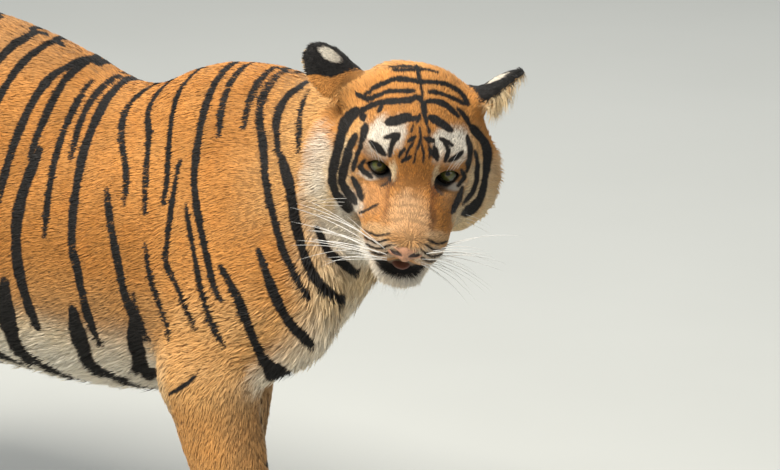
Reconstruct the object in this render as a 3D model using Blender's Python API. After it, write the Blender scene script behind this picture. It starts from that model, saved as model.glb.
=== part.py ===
"""Bengal tiger, a still life-size model, standing with its head turned to its right.

Metres, +Z up. The tiger faces -Y, its right side is -X, and its soles stand on z = 0.
All sizes are from a point below the withers; the finished solids move to the outline's middle.
The body is described once, as a distance field of rounded limbs and ellipsoids on a posed
skeleton. The field is meshed, thinned to flat facets and parted into named solids by thin cuts.
"""
import math

import bpy
import numpy as np
import openvdb
from mathutils import Matrix, Vector

# ---- driving sizes ---------------------------------------------------------------------------
RIGHT, LEFT = -1, 1                  # signs of x for the tiger's sides
GAP = 0.0003                         # between neighbouring solids
MIDDLE = (-0.005, 0.519, 0.0)        # floor under the middle of the outline: the part's origin
HEAD_POINT = (-0.120, -0.362, 0.825)  # between the eyes
HEAD_TURN = (62.0, 11.0, 8.5)        # degrees to its right, nose down, tilted
EYE_OUT, EYE_BACK = 0.054, 0.013     # eyeball centres from the head point
EYE_RADIUS = 0.0185
BODY_VOXEL, HEAD_VOXEL = 0.014, 0.007
BODY_FACETS, HEAD_FACETS = 4000, 1900
REACH = 0.12                         # how far from its surface a form is worked out

TRUNK = [  # y, top, bottom, half width
    (-0.13, 0.858, 0.610, 0.100),
    (-0.07, 0.905, 0.503, 0.135),
    (0.01, 0.921, 0.425, 0.165),
    (0.12, 0.890, 0.380, 0.180),
    (0.26, 0.886, 0.365, 0.190),
    (0.42, 0.944, 0.375, 0.190),
    (0.58, 0.984, 0.420, 0.175),
    (0.74, 0.988, 0.500, 0.160),
    (0.87, 0.964, 0.610, 0.130),
    (0.955, 0.900, 0.715, 0.080),
]
NECK = [  # x, y, z, half width, half height
    (0.000, -0.02, 0.718, 0.135, 0.195),
    (-0.003, -0.10, 0.745, 0.128, 0.178),
    (-0.006, -0.17, 0.775, 0.114, 0.160),
    (-0.008, -0.23, 0.800, 0.102, 0.145),
    (-0.015, -0.28, 0.815, 0.092, 0.128),
]
TAIL = [  # x, y, z, half width, half height
    (0.00, 0.95, 0.870, 0.066, 0.068),
    (0.00, 1.04, 0.820, 0.054, 0.056),
    (0.01, 1.11, 0.720, 0.046, 0.047),
    (0.025, 1.15, 0.580, 0.042, 0.043),
    (0.04, 1.19, 0.440, 0.040, 0.040),
    (0.05, 1.26, 0.320, 0.038, 0.038),
    (0.05, 1.36, 0.265, 0.035, 0.035),
    (0.04, 1.45, 0.290, 0.031, 0.031),
    (0.03, 1.50, 0.330, 0.020, 0.020),
]
FORELEG = {  # shoulder, elbow, wrist, knuckles
    RIGHT: [(-0.115, -0.11, 0.640), (-0.152, -0.010, 0.440), (-0.140, -0.075, 0.175),
            (-0.138, -0.130, 0.052)],
    LEFT: [(0.110, -0.025, 0.650), (0.140, 0.110, 0.440), (0.125, 0.110, 0.175),
           (0.122, 0.060, 0.052)],
}
HINDLEG = {  # hip, stifle, hock, knuckles
    RIGHT: [(-0.095, 0.84, 0.790), (-0.150, 0.725, 0.540), (-0.130, 1.010, 0.280),
            (-0.130, 0.965, 0.052)],
    LEFT: [(0.095, 0.84, 0.790), (0.150, 0.685, 0.540), (0.130, 0.900, 0.275),
           (0.130, 0.845, 0.052)],
}


# ---- distance field --------------------------------------------------------------------------
def unit(v):
    v = np.asarray(v, float)
    return v / np.linalg.norm(v)


def smooth_union(a, b, k):
    h = np.maximum(k - np.abs(a - b), 0.0) / k
    return np.minimum(a, b) - h * h * k * 0.25


def smooth_cut(a, b, k):
    h = np.maximum(k - np.abs(a + b), 0.0) / k
    return np.maximum(a, -b) + h * h * k * 0.25


def turned(yaw, pitch, roll):
    """Columns are left, back and up of a part turned to its right, nose down and tilted."""
    y, p, r = (math.radians(v) for v in (yaw, pitch, roll))
    about_z = np.array([[math.cos(y), math.sin(y), 0], [-math.sin(y), math.cos(y), 0], [0, 0, 1]])
    about_x = np.array([[1, 0, 0], [0, math.cos(p), -math.sin(p)], [0, math.sin(p), math.cos(p)]])
    about_y = np.array([[math.cos(r), 0, math.sin(r)], [0, 1, 0], [-math.sin(r), 0, math.cos(r)]])
    return about_z @ about_x @ about_y


HEAD_AXES = turned(*HEAD_TURN)


def from_head(point):
    """A point of the head's own frame (left, back, up) in the tiger's frame."""
    return np.array(HEAD_POINT) + np.asarray(point, float) @ HEAD_AXES.T


def ball(centre, radii, axes=None):
    """An ellipsoid as (distance function, low corner, high corner)."""
    c, r = np.asarray(centre, float), np.asarray(radii, float) * np.ones(3)

    def distance(p):
        q = p - c
        if axes is not None:
            q = q @ axes
        k0 = np.linalg.norm(q / r, axis=1)
        k1 = np.linalg.norm(q / (r * r), axis=1)
        return k0 * (k0 - 1.0) / np.maximum(k1, 1e-9)
    return distance, c - r.max(), c + r.max()


def rounded_path(rows, count):
    """Rows resampled along a Catmull-Rom curve."""
    rows = np.asarray(rows, float)
    ends = np.vstack([2 * rows[0] - rows[1], rows, 2 * rows[-1] - rows[-2]])
    out = []
    for t in np.linspace(0, len(rows) - 1 - 1e-9, count):
        i, f = int(t), t - int(t)
        a, b, c, d = ends[i:i + 4]
        out.append(0.5 * (2 * b + (c - a) * f + (2 * a - 5 * b + 4 * c - d) * f * f
                          + (3 * b - a - 3 * c + d) * f ** 3))
    return np.array(out)


def limb(rows, count, up=(0, 0, 1), pinch=0.0):
    """A rounded limb through rows of (x, y, z, half width, half height)."""
    rows = rounded_path(rows, count)
    spans = []
    for a, b in zip(rows[:-1], rows[1:]):
        reach = max(a[3:].max(), b[3:].max())
        spans.append((a, b, np.minimum(a[:3], b[:3]) - reach, np.maximum(a[:3], b[:3]) + reach))

    def distance(p):
        best = np.full(len(p), 1.0)
        for a, b, low, high in spans:
            m = np.all((p > low - REACH) & (p < high + REACH), axis=1)
            if not m.any():
                continue
            ab = b[:3] - a[:3]
            along = unit(ab)
            side = unit(np.cross(up, along))
            top = np.cross(along, side)
            t = np.clip((p[m] - a[:3]) @ ab / (ab @ ab), 0, 1)
            v = p[m] - (a[:3] + t[:, None] * ab)
            half_w = a[3] + t * (b[3] - a[3])
            half_h = a[4] + t * (b[4] - a[4])
            s, w, l = v @ side, v @ top, v @ along
            half_w = half_w * (1 - pinch * np.clip(w / half_h, -1, 1))
            half_l = np.minimum(half_w, half_h)
            k0 = np.sqrt((s / half_w) ** 2 + (w / half_h) ** 2 + (l / half_l) ** 2)
            k1 = np.sqrt((s / half_w ** 2) ** 2 + (w / half_h ** 2) ** 2 + (l / half_l ** 2) ** 2)
            best[m] = np.minimum(best[m], k0 * (k0 - 1) / np.maximum(k1, 1e-9))
        return best
    return distance, np.min([s[2] for s in spans], axis=0), np.max([s[3] for s in spans], axis=0)


class Form:
    """Shapes joined or cut one after the other, each with its own width of blend."""

    def __init__(self):
        self.steps = []

    def add(self, shape, blend):
        self.steps.append((shape, blend, smooth_union))

    def cut(self, shape, blend):
        self.steps.append((shape, blend, smooth_cut))

    def distance(self, p):
        d = np.full(len(p), REACH)
        for (near, low, high), blend, join in self.steps:
            m = np.all((p > low - REACH) & (p < high + REACH), axis=1)
            if m.any():
                d[m] = join(d[m], near(p[m]), blend)
        return d


# ---- the tiger's forms -----------------------------------------------------------------------
def add_paw(form, wrist, knuckle, spread):
    """The pad and four toes, the middle two reaching furthest."""
    wrist, knuckle = np.array(wrist), np.array(knuckle)
    ahead = unit(((knuckle[0] - wrist[0]) * 0.4, knuckle[1] - wrist[1] - 0.02, 0))
    side = np.array([-ahead[1], ahead[0], 0])
    form.add(ball(knuckle + (0, 0, -0.014), (0.052, 0.064, 0.042)), 0.02)
    for place in (-1.5, -0.5, 0.5, 1.5):
        reach = 0.080 if abs(place) < 1 else 0.059
        root = knuckle + side * place * spread * 0.85 + ahead * 0.01 + (0, 0, 0.004)
        tip = knuckle + side * place * spread + ahead * reach + (0, 0, -0.033)
        arch = (root + tip) / 2 + (0, 0, 0.018)
        form.add(limb([(*root, 0.019, 0.026), (*arch, 0.0185, 0.023), (*tip, 0.0175, 0.021)], 4), 0.010)


def add_foreleg(form, bones):
    shoulder, elbow, wrist, knuckle = (np.array(v) for v in bones)
    ahead = (0, 1, 0)
    blade = shoulder + (elbow - shoulder) * 0.15 + (0, -0.01, 0.03)
    form.add(ball(blade, (0.062, 0.120, 0.170), turned(0, -25, 0)), 0.05)
    form.add(limb([(*shoulder, 0.062, 0.100), (*((shoulder + elbow) / 2), 0.062, 0.098),
                   (*elbow, 0.060, 0.076)], 6, ahead), 0.06)
    form.add(limb([(*elbow, 0.060, 0.076), (*(elbow + (wrist - elbow) * 0.3), 0.062, 0.074),
                   (*(elbow + (wrist - elbow) * 0.75), 0.052, 0.058),
                   (*wrist, 0.048, 0.052)], 8, ahead), 0.03)
    form.add(ball(elbow + (0, 0.035, 0.012), (0.036, 0.045, 0.050)), 0.04)
    form.add(limb([(*wrist, 0.048, 0.052), (*((wrist + knuckle) / 2), 0.048, 0.045),
                   (*knuckle, 0.048, 0.042)], 5, ahead), 0.02)
    add_paw(form, wrist, knuckle, 0.031)


def add_hindleg(form, bones):
    hip, stifle, hock, knuckle = (np.array(v) for v in bones)
    ahead = (0, 1, 0)
    form.add(ball(hip + (stifle - hip) * 0.42 + (0, 0.060, 0), (0.082, 0.165, 0.205), turned(0, 12, 0)), 0.05)
    form.add(limb([(*hip, 0.070, 0.120), (*((hip + stifle) / 2), 0.080, 0.130),
                   (*stifle, 0.066, 0.088)], 6, ahead), 0.06)
    form.add(limb([(*stifle, 0.066, 0.088), (*(stifle + (hock - stifle) * 0.4), 0.062, 0.082),
                   (*(stifle + (hock - stifle) * 0.8), 0.045, 0.054), (*hock, 0.041, 0.048)], 8, ahead), 0.04)
    form.add(ball(hock + (0, 0.020, 0.014), (0.031, 0.036, 0.042)), 0.03)
    form.add(limb([(*hock, 0.041, 0.048), (*((hock + knuckle) / 2), 0.042, 0.042),
                   (*knuckle, 0.050, 0.044)], 5, ahead), 0.02)
    add_paw(form, hock, knuckle, 0.030)


def ear_frame(side):
    """Base point and axes (across, along, out of the opening) of an ear laid outward and back."""
    base = np.array([-0.112, 0.105, 0.072] if side == RIGHT else [0.082, 0.105, 0.080])
    along = unit((-0.68, 0.34, 0.54) if side == RIGHT else (0.74, 0.16, 0.62))
    opening = np.array([-0.25, 0.42, -0.80] if side == RIGHT else [0.50, -0.28, -0.80])
    opening = unit(opening - along * (opening @ along))
    return base, np.stack([np.cross(along, opening), along, opening], axis=1)


def head_form():
    """The head in its own frame, from the point between the eyes."""
    h = Form()
    h.add(ball((0, 0.110, 0.014), (0.110, 0.120, 0.120)), 0.01)     # cranium
    h.add(ball((-0.045, 0.150, 0.014), (0.072, 0.080, 0.106)), 0.03)   # nape, towards the shoulder
    h.add(ball((0, 0.040, 0.016), (0.080, 0.070, 0.066)), 0.04)      # forehead
    for s in (RIGHT, LEFT):
        h.add(ball((0.082 * s, 0.085, -0.044), (0.062, 0.072, 0.084)), 0.04)   # ruff
        h.add(ball((0.041 * s, 0.012, -0.060), (0.039, 0.062, 0.050)), 0.03)   # cheek
    h.add(limb([(0, 0.03, -0.036, 0.052, 0.052), (0, -0.05, -0.050, 0.050, 0.040),
                (0, -0.096, -0.064, 0.042, 0.031)], 8), 0.030)       # bridge of the nose
    for s in (RIGHT, LEFT):
        h.add(ball((0.034 * s, -0.034, -0.062), (0.032, 0.054, 0.038)), 0.030)  # side of the muzzle
        h.add(ball((0.030 * s, -0.070, -0.084), (0.034, 0.046, 0.035)), 0.024)  # whisker pad
    h.add(ball((0, -0.110, -0.068), (0.034, 0.020, 0.025)), 0.012)   # nose
    h.add(limb([(0, 0.08, -0.126, 0.080, 0.052), (0, 0.0, -0.134, 0.056, 0.034),
                (0, -0.060, -0.143, 0.033, 0.024)], 8), 0.014)       # lower jaw
    for s in (RIGHT, LEFT):
        h.add(ball((0.052 * s, 0.022, 0.038), (0.038, 0.032, 0.016)), 0.02)    # brow
        h.cut(ball((0.058 * s, -0.016, -0.001), (0.023, 0.026, 0.015)), 0.010)  # socket
        base, axes = ear_frame(s)
        h.add(ball(base + axes @ (0, 0.040, 0), (0.045, 0.061, 0.018), axes), 0.03)
        h.cut(ball(base + axes @ (0, 0.054, 0.015), (0.037, 0.047, 0.021), axes), 0.006)
    return h


def body_form():
    b = Form()
    rows = [(0, y, (top + bottom) / 2, wide, (top - bottom) / 2) for y, top, bottom, wide in TRUNK]
    b.add(limb(rows, 22, pinch=0.12), 0.01)
    b.add(limb(NECK, 10), 0.06)
    b.add(ball((0, -0.02, 0.828), (0.095, 0.15, 0.095)), 0.06)       # withers
    for s in (RIGHT, LEFT):
        add_foreleg(b, FORELEG[s])
        add_hindleg(b, HINDLEG[s])
    b.add(limb(TAIL, 24), 0.05)
    return b


BODY, HEAD = body_form(), head_form()


def tiger_distance(p):
    d = BODY.distance(p)
    near = np.linalg.norm(p - HEAD_POINT, axis=1) < 0.42
    of_head = HEAD.distance((p[near] - HEAD_POINT) @ HEAD_AXES)
    d[near] = smooth_union(d[near], of_head, 0.022)
    return d


# ---- meshing ---------------------------------------------------------------------------------
def doubled(a):
    return np.repeat(np.repeat(np.repeat(a, 2, 0), 2, 1), 2, 2)


def grown(mask):
    for axis in range(3):
        bigger = mask.copy()
        ahead, behind = [slice(None)] * 3, [slice(None)] * 3
        ahead[axis], behind[axis] = slice(1, None), slice(None, -1)
        bigger[tuple(ahead)] |= mask[tuple(behind)]
        bigger[tuple(behind)] |= mask[tuple(ahead)]
        mask = bigger
    return mask


def surface(distance, low, high, voxel, finer=2):
    """Points and quads where distance is 0, each finer grid filled only near the surface."""
    low, high = np.array(low), np.array(high)
    step = voxel * 2 ** finer
    counts = np.ceil((high - low) / step).astype(int) + 2
    ticks = [low[i] + np.arange(counts[i]) * step for i in range(3)]
    grid = np.stack(np.meshgrid(*ticks, indexing="ij"), -1)
    d = distance(grid.reshape(-1, 3)).reshape(counts).astype(np.float32)
    for _ in range(finer):
        near = np.abs(d) < step * 1.8
        step /= 2
        keep = tuple(slice(0, n * 2 - 1) for n in d.shape)
        d, near = doubled(d)[keep], grown(doubled(near)[keep])
        d[near] = distance(low + np.argwhere(near) * step)
    volume = openvdb.FloatGrid(1.0)
    volume.copyFromArray(np.ascontiguousarray(d))
    points, _, quads = volume.convertToPolygons(isovalue=0.0, adaptivity=0.0)
    return low + np.asarray(points) * voxel, np.asarray(quads)


def facets(name, distance, low, high, voxel, count):
    """A closed faceted mesh of about this many triangles."""
    points, quads = surface(distance, low, high, voxel)
    mesh = bpy.data.meshes.new(name)
    mesh.from_pydata(points.tolist(), [], quads.tolist())
    whole = bpy.data.objects.new(name, mesh)
    bpy.context.scene.collection.objects.link(whole)
    thin = whole.modifiers.new("thin", "DECIMATE")
    thin.ratio = count / (2 * len(quads))
    thin.use_collapse_triangulate = True
    done = bpy.data.meshes.new_from_object(whole.evaluated_get(bpy.context.evaluated_depsgraph_get()))
    bpy.data.objects.remove(whole)
    bpy.data.meshes.remove(mesh)
    return done


# ---- objects ---------------------------------------------------------------------------------
for old in list(bpy.data.objects):
    bpy.data.objects.remove(old)
tiger = bpy.data.collections.new("bengal_tiger")
cutters = bpy.data.collections.new("cutters")
for group in (tiger, cutters):
    bpy.context.scene.collection.children.link(group)


def material(name, colour, roughness):
    m = bpy.data.materials.new(name)
    m.use_nodes = True
    shader = m.node_tree.nodes["Principled BSDF"]
    shader.inputs["Base Color"].default_value = (*colour, 1)
    shader.inputs["Roughness"].default_value = roughness
    return m


COAT = material("coat", (0.66, 0.28, 0.08), 0.85)
EYE = material("eye", (0.12, 0.13, 0.04), 0.08)
NOSE = material("nose", (0.45, 0.17, 0.11), 0.45)
TONGUE = material("tongue", (0.50, 0.20, 0.18), 0.5)


def put(name, mesh, group, slot=None):
    mesh.name = name
    ob = bpy.data.objects.new(name, mesh)
    group.objects.link(ob)
    if slot:
        mesh.materials.clear()
        mesh.materials.append(slot)
    else:
        ob.hide_render = True
        ob.display_type = "WIRE"
    return ob


def box(name, low, high, place=None):
    """A cutter between two corners, in the frame given by place."""
    (x0, y0, z0), (x1, y1, z1) = low, high
    points = [(x, y, z) for z in (z0, z1) for x, y in ((x0, y0), (x1, y0), (x1, y1), (x0, y1))]
    sides = [(0, 3, 2, 1), (4, 5, 6, 7), (0, 1, 5, 4), (1, 2, 6, 5), (2, 3, 7, 6), (3, 0, 4, 7)]
    mesh = bpy.data.meshes.new(name)
    mesh.from_pydata(points, [], sides)
    ob = put(name, mesh, cutters)
    if place is not None:
        mesh.transform(place)
    return ob


def grown_box(name, low, high, place=None):
    """The same box with the gap around it."""
    return box(name, [v - GAP for v in low], [v + GAP for v in high], place)


def round_solid(name, centre, radii, place, group, slot=None, around=16, rings=8, gap=0.0):
    """An ellipsoid of facets, in the frame given by place."""
    points = [(0, 0, 1)]
    for i in range(1, rings):
        a = math.pi * i / rings
        points += [(math.sin(a) * math.cos(2 * math.pi * k / around),
                    math.sin(a) * math.sin(2 * math.pi * k / around), math.cos(a)) for k in range(around)]
    points.append((0, 0, -1))
    faces = [(0, 1 + k, 1 + (k + 1) % around) for k in range(around)]
    for i in range(rings - 2):
        a = 1 + i * around
        for k in range(around):
            n = (k + 1) % around
            faces.append((a + k, a + around + k, a + around + n, a + n))
    last, a = len(points) - 1, 1 + (rings - 2) * around
    faces += [(a + k, last, a + (k + 1) % around) for k in range(around)]
    mesh = bpy.data.meshes.new(name)
    size = [r + gap for r in radii]
    mesh.from_pydata([[c + s * v for c, s, v in zip(centre, size, p)] for p in points], [], faces)
    mesh.transform(place)
    return put(name, mesh, group, slot)


def part(name, mesh, within, without=(), slot=COAT):
    """A solid: the part of the mesh inside one cutter and outside the others."""
    ob = put(name, mesh.copy(), tiger, slot)
    for cutter, how in [(within, "INTERSECT")] + [(c, "DIFFERENCE") for c in without]:
        cut = ob.modifiers.new(cutter.name, "BOOLEAN")
        cut.operation, cut.object, cut.solver = how, cutter, "EXACT"
    return ob


def frame_matrix(origin, axes):
    m = Matrix([[*row] for row in np.asarray(axes, float).tolist()]).to_4x4()
    m.translation = Vector([float(v) for v in origin])
    return m


# the whole head and the whole body, each continued past the cut between them
nape = unit((0.45, 0.86, 0.25))              # normal of the cut behind the head
NAPE_POINT = np.array([-0.020, -0.240, 0.800])
nape_up = unit(np.array([0, 0, 1]) - nape * nape[2])
nape_axes = np.stack([np.cross(nape, nape_up), nape, nape_up], axis=1)


def head_and_nape(p):
    behind = (p - NAPE_POINT) @ nape - 0.12
    return np.maximum(tiger_distance(p), np.maximum(behind, 0.56 - p[:, 2]))


def body_and_nape(p):
    before = -0.09 - (p - NAPE_POINT) @ nape
    return np.maximum(tiger_distance(p), np.minimum(before, p[:, 2] - 0.60))


head_mesh = facets("whole_head", head_and_nape, (-0.45, -0.70, 0.52), (0.25, 0.02, 1.08),
                   HEAD_VOXEL, HEAD_FACETS)
body_mesh = facets("whole_body", body_and_nape, (-0.40, -0.45, -0.06), (0.40, 1.60, 1.08),
                   BODY_VOXEL, BODY_FACETS)

# head and what is set in it
head_place = frame_matrix(HEAD_POINT, HEAD_AXES)
nape_place = frame_matrix(NAPE_POINT, nape_axes)
head_low, head_high = (-0.34, -0.45, -0.20), (0.34, 0.0, 0.30)
head_space = box("head_space", head_low, head_high, nape_place)
around_head = grown_box("around_head", head_low, head_high, nape_place)
head_cuts, ear_cuts = [], []
for side, word in ((RIGHT, "right"), (LEFT, "left")):
    base, axes = ear_frame(side)
    ear_place = head_place @ frame_matrix(base, axes)
    low, high = (-0.057, 0.024, -0.030), (0.057, 0.13, 0.030)
    part("ear_" + word, head_mesh, box("ear_space_" + word, low, high, ear_place))
    ear_cuts.append(grown_box("around_ear_" + word, low, high, ear_place))
    ball_at = (EYE_OUT * side, EYE_BACK, 0)
    round_solid("eye_" + word, ball_at, [EYE_RADIUS] * 3, head_place, tiger, EYE)
    head_cuts.append(round_solid("socket_" + word, ball_at, [EYE_RADIUS] * 3, head_place, cutters, gap=GAP))
low, high = (-0.026, -0.20, -0.096), (0.026, -0.112, -0.060)
part("nose", head_mesh, box("nose_space", low, high, head_place), slot=NOSE)
head_cuts.append(grown_box("around_nose", low, high, head_place))
tongue_at, tongue_size = (0, -0.060, -0.1250), (0.018, 0.034, 0.0055)
head_cuts.append(round_solid("mouth", (0, -0.085, -0.120), (0.050, 0.060, 0.004), head_place, cutters))
round_solid("tongue", tongue_at, tongue_size, head_place, tiger, TONGUE, 12, 6)
head_cuts.append(round_solid("around_tongue", tongue_at, tongue_size, head_place, cutters, None, 12, 6, GAP))
part("head", head_mesh, head_space, ear_cuts + head_cuts)

# legs, cut below elbow and knee and above the paw
leg_cuts = {"fore": [], "hind": []}
for kind, top, wrist, y_right, y_left in (("fore", 0.43, 0.165, (-0.30, 0.088), (-0.05, 0.215)),
                                          ("hind", 0.44, 0.250, (0.66, 1.10), (0.646, 1.10))):
    for side, word, (y0, y1) in ((RIGHT, "right", y_right), (LEFT, "left", y_left)):
        x0, x1 = sorted((0.060 * side, 0.40 * side))
        shank = (x0, y0, wrist + GAP), (x1, y1, top)
        foot = (x0, y0 - 0.10, 0.0), (x1, y1 + 0.03, wrist)
        part(f"{kind}leg_{word}", body_mesh, box(f"{kind}leg_space_{word}", *shank))
        part(f"{kind}paw_{word}", body_mesh, box(f"{kind}paw_space_{word}", *foot))
        leg_cuts[kind].append(grown_box(f"around_{kind}leg_{word}", *shank))

# neck, trunk and tail, one behind the other
part("neck", body_mesh, box("neck_space", (-0.4, -0.6, 0.43 + GAP), (0.4, -0.10, 1.2)),
     [around_head] + ear_cuts)
part("chest", body_mesh, box("chest_space", (-0.4, -0.10 + GAP, 0.3), (0.4, 0.24, 1.2)),
     leg_cuts["fore"] + [around_head] + ear_cuts)
part("belly", body_mesh, box("belly_space", (-0.4, 0.24 + GAP, 0.3), (0.4, 0.60, 1.2)))
part("rump", body_mesh, box("rump_space", (-0.4, 0.60 + GAP, 0.36), (0.4, 1.06, 1.2)), leg_cuts["hind"])
part("tail_root", body_mesh, box("tail_root_space", (-0.2, 1.06 + GAP, 0.64), (0.2, 1.25, 1.1)))
part("tail_middle", body_mesh,
     box("tail_middle_space", (-0.2, 1.10 + 2 * GAP, 0.2), (0.2, 1.285, 0.64 - GAP)))
part("tail_end", body_mesh, box("tail_end_space", (-0.2, 1.285 + GAP, 0.2), (0.2, 1.6, 0.5)))
for spare in (head_mesh, body_mesh):
    bpy.data.meshes.remove(spare)
for ob in list(tiger.objects) + list(cutters.objects):
    ob.data.transform(Matrix.Translation([-v for v in MIDDLE]))
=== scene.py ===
"""Bengal tiger: one skin with its coat, eyes, nose, tongue, whiskers and claws, round the frame.

The distance field and its sizes are those of part.py. Everything is worked out in the tiger's own
frame (metres, facing -Y, its right side at -X) and moved by -MIDDLE into the frame's.
"""
import math

import bpy
import numpy as np
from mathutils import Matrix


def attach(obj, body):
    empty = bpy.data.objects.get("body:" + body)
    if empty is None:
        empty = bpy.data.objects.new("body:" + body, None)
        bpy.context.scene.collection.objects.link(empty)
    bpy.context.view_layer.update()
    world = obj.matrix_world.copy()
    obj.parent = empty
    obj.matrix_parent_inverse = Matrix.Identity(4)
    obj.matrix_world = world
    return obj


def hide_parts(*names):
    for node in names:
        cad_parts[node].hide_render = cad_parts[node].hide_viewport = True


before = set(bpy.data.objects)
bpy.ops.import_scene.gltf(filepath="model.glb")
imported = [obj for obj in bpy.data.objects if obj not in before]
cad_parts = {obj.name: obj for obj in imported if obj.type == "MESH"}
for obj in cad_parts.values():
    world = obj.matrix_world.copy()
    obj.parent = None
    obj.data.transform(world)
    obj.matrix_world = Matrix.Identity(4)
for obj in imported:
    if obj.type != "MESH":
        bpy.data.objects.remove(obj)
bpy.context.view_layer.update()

import openvdb
from mathutils import Matrix, Vector

# ---- sizes shared with the CAD ----
RIGHT, LEFT = -1, 1
MIDDLE = (-0.005, 0.519, 0.0)
HEAD_POINT = (-0.120, -0.362, 0.825)
HEAD_TURN = (62.0, 11.0, 8.5)
EYE_OUT, EYE_BACK, EYE_RADIUS = 0.054, 0.013, 0.0185
REACH = 0.12                          # how far beyond its box a shape is worked out
HEAD_REACH = 0.42                     # how far round its point the head is
HEAD_BLEND = 0.022                    # with the neck
TRUNK = [  # y, top, bottom, half width
    (-0.13, 0.858, 0.610, 0.100), (-0.07, 0.905, 0.503, 0.135), (0.01, 0.921, 0.425, 0.165),
    (0.12, 0.890, 0.380, 0.180), (0.26, 0.886, 0.365, 0.190), (0.42, 0.944, 0.375, 0.190),
    (0.58, 0.984, 0.420, 0.175), (0.74, 0.988, 0.500, 0.160), (0.87, 0.964, 0.610, 0.130),
    (0.955, 0.900, 0.715, 0.080),
]
NECK = [  # x, y, z, half width, half height
    (0.000, -0.02, 0.718, 0.135, 0.195), (-0.003, -0.10, 0.745, 0.128, 0.178),
    (-0.006, -0.17, 0.775, 0.114, 0.160), (-0.008, -0.23, 0.800, 0.102, 0.145),
    (-0.015, -0.28, 0.815, 0.092, 0.128),
]
TAIL = [  # x, y, z, half width, half height
    (0.00, 0.95, 0.870, 0.066, 0.068), (0.00, 1.04, 0.820, 0.054, 0.056),
    (0.01, 1.11, 0.720, 0.046, 0.047), (0.025, 1.15, 0.580, 0.042, 0.043),
    (0.04, 1.19, 0.440, 0.040, 0.040), (0.05, 1.26, 0.320, 0.038, 0.038),
    (0.05, 1.36, 0.265, 0.035, 0.035), (0.04, 1.45, 0.290, 0.031, 0.031),
    (0.03, 1.50, 0.330, 0.020, 0.020),
]
FORELEG = {  # shoulder, elbow, wrist, knuckles
    RIGHT: [(-0.115, -0.11, 0.640), (-0.152, -0.010, 0.440), (-0.140, -0.075, 0.175),
            (-0.138, -0.130, 0.052)],
    LEFT: [(0.110, -0.025, 0.650), (0.140, 0.110, 0.440), (0.125, 0.110, 0.175),
           (0.122, 0.060, 0.052)],
}
HINDLEG = {  # hip, stifle, hock, knuckles
    RIGHT: [(-0.095, 0.84, 0.790), (-0.150, 0.725, 0.540), (-0.130, 1.010, 0.280),
            (-0.130, 0.965, 0.052)],
    LEFT: [(0.095, 0.84, 0.790), (0.150, 0.685, 0.540), (0.130, 0.900, 0.275),
           (0.130, 0.845, 0.052)],
}
LIMBS = (*FORELEG.values(), *HINDLEG.values())


# ---- distance field ----
def unit(v):
    v = np.asarray(v, float)
    return v / np.linalg.norm(v)


def units(v):
    return v / np.maximum(np.linalg.norm(v, axis=1), 1e-9)[:, None]


def ease(x, start, end):
    """0 before start, 1 after end, smooth between them."""
    t = np.clip((np.asarray(x) - start) / (end - start), 0.0, 1.0)
    return t * t * (3 - 2 * t)


def fade(x, start, end):
    """1 before start, 0 after end."""
    return 1 - ease(x, start, end)


def smooth_union(a, b, k):
    h = np.maximum(k - np.abs(a - b), 0.0) / k
    return np.minimum(a, b) - h * h * k * 0.25


def smooth_cut(a, b, k):
    h = np.maximum(k - np.abs(a + b), 0.0) / k
    return np.maximum(a, -b) + h * h * k * 0.25


def turned(yaw, pitch, roll):
    """Columns are left, back and up of a part turned to its right, nose down and tilted."""
    y, p, r = (math.radians(v) for v in (yaw, pitch, roll))
    about_z = np.array([[math.cos(y), math.sin(y), 0], [-math.sin(y), math.cos(y), 0], [0, 0, 1]])
    about_x = np.array([[1, 0, 0], [0, math.cos(p), -math.sin(p)], [0, math.sin(p), math.cos(p)]])
    about_y = np.array([[math.cos(r), 0, math.sin(r)], [0, 1, 0], [-math.sin(r), 0, math.cos(r)]])
    return about_z @ about_x @ about_y


HEAD_AXES = turned(*HEAD_TURN)
FACE_UP, FACE_AHEAD = np.array([(0, 0.438, 0.899), (0, 0.899, -0.438)])   # seen from in front


def from_head(point):
    return np.array(HEAD_POINT) + np.asarray(point, float) @ HEAD_AXES.T


def in_head(p):
    return (p - HEAD_POINT) @ HEAD_AXES


def ball(centre, radii, axes=None):
    """An ellipsoid as (distance function, low corner, high corner)."""
    c, r = np.asarray(centre, float), np.asarray(radii, float) * np.ones(3)

    def distance(p):
        q = p - c
        if axes is not None:
            q = q @ axes
        k0 = np.linalg.norm(q / r, axis=1)
        k1 = np.linalg.norm(q / (r * r), axis=1)
        return k0 * (k0 - 1.0) / np.maximum(k1, 1e-9)
    return distance, c - r.max(), c + r.max()


def rounded_path(rows, count):
    """Rows resampled along a Catmull-Rom curve."""
    rows = np.asarray(rows, float)
    ends = np.vstack([2 * rows[0] - rows[1], rows, 2 * rows[-1] - rows[-2]])
    out = []
    for t in np.linspace(0, len(rows) - 1 - 1e-9, count):
        i, f = int(t), t - int(t)
        a, b, c, d = ends[i:i + 4]
        out.append(0.5 * (2 * b + (c - a) * f + (2 * a - 5 * b + 4 * c - d) * f * f
                          + (3 * b - a - 3 * c + d) * f ** 3))
    return np.array(out)


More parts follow.
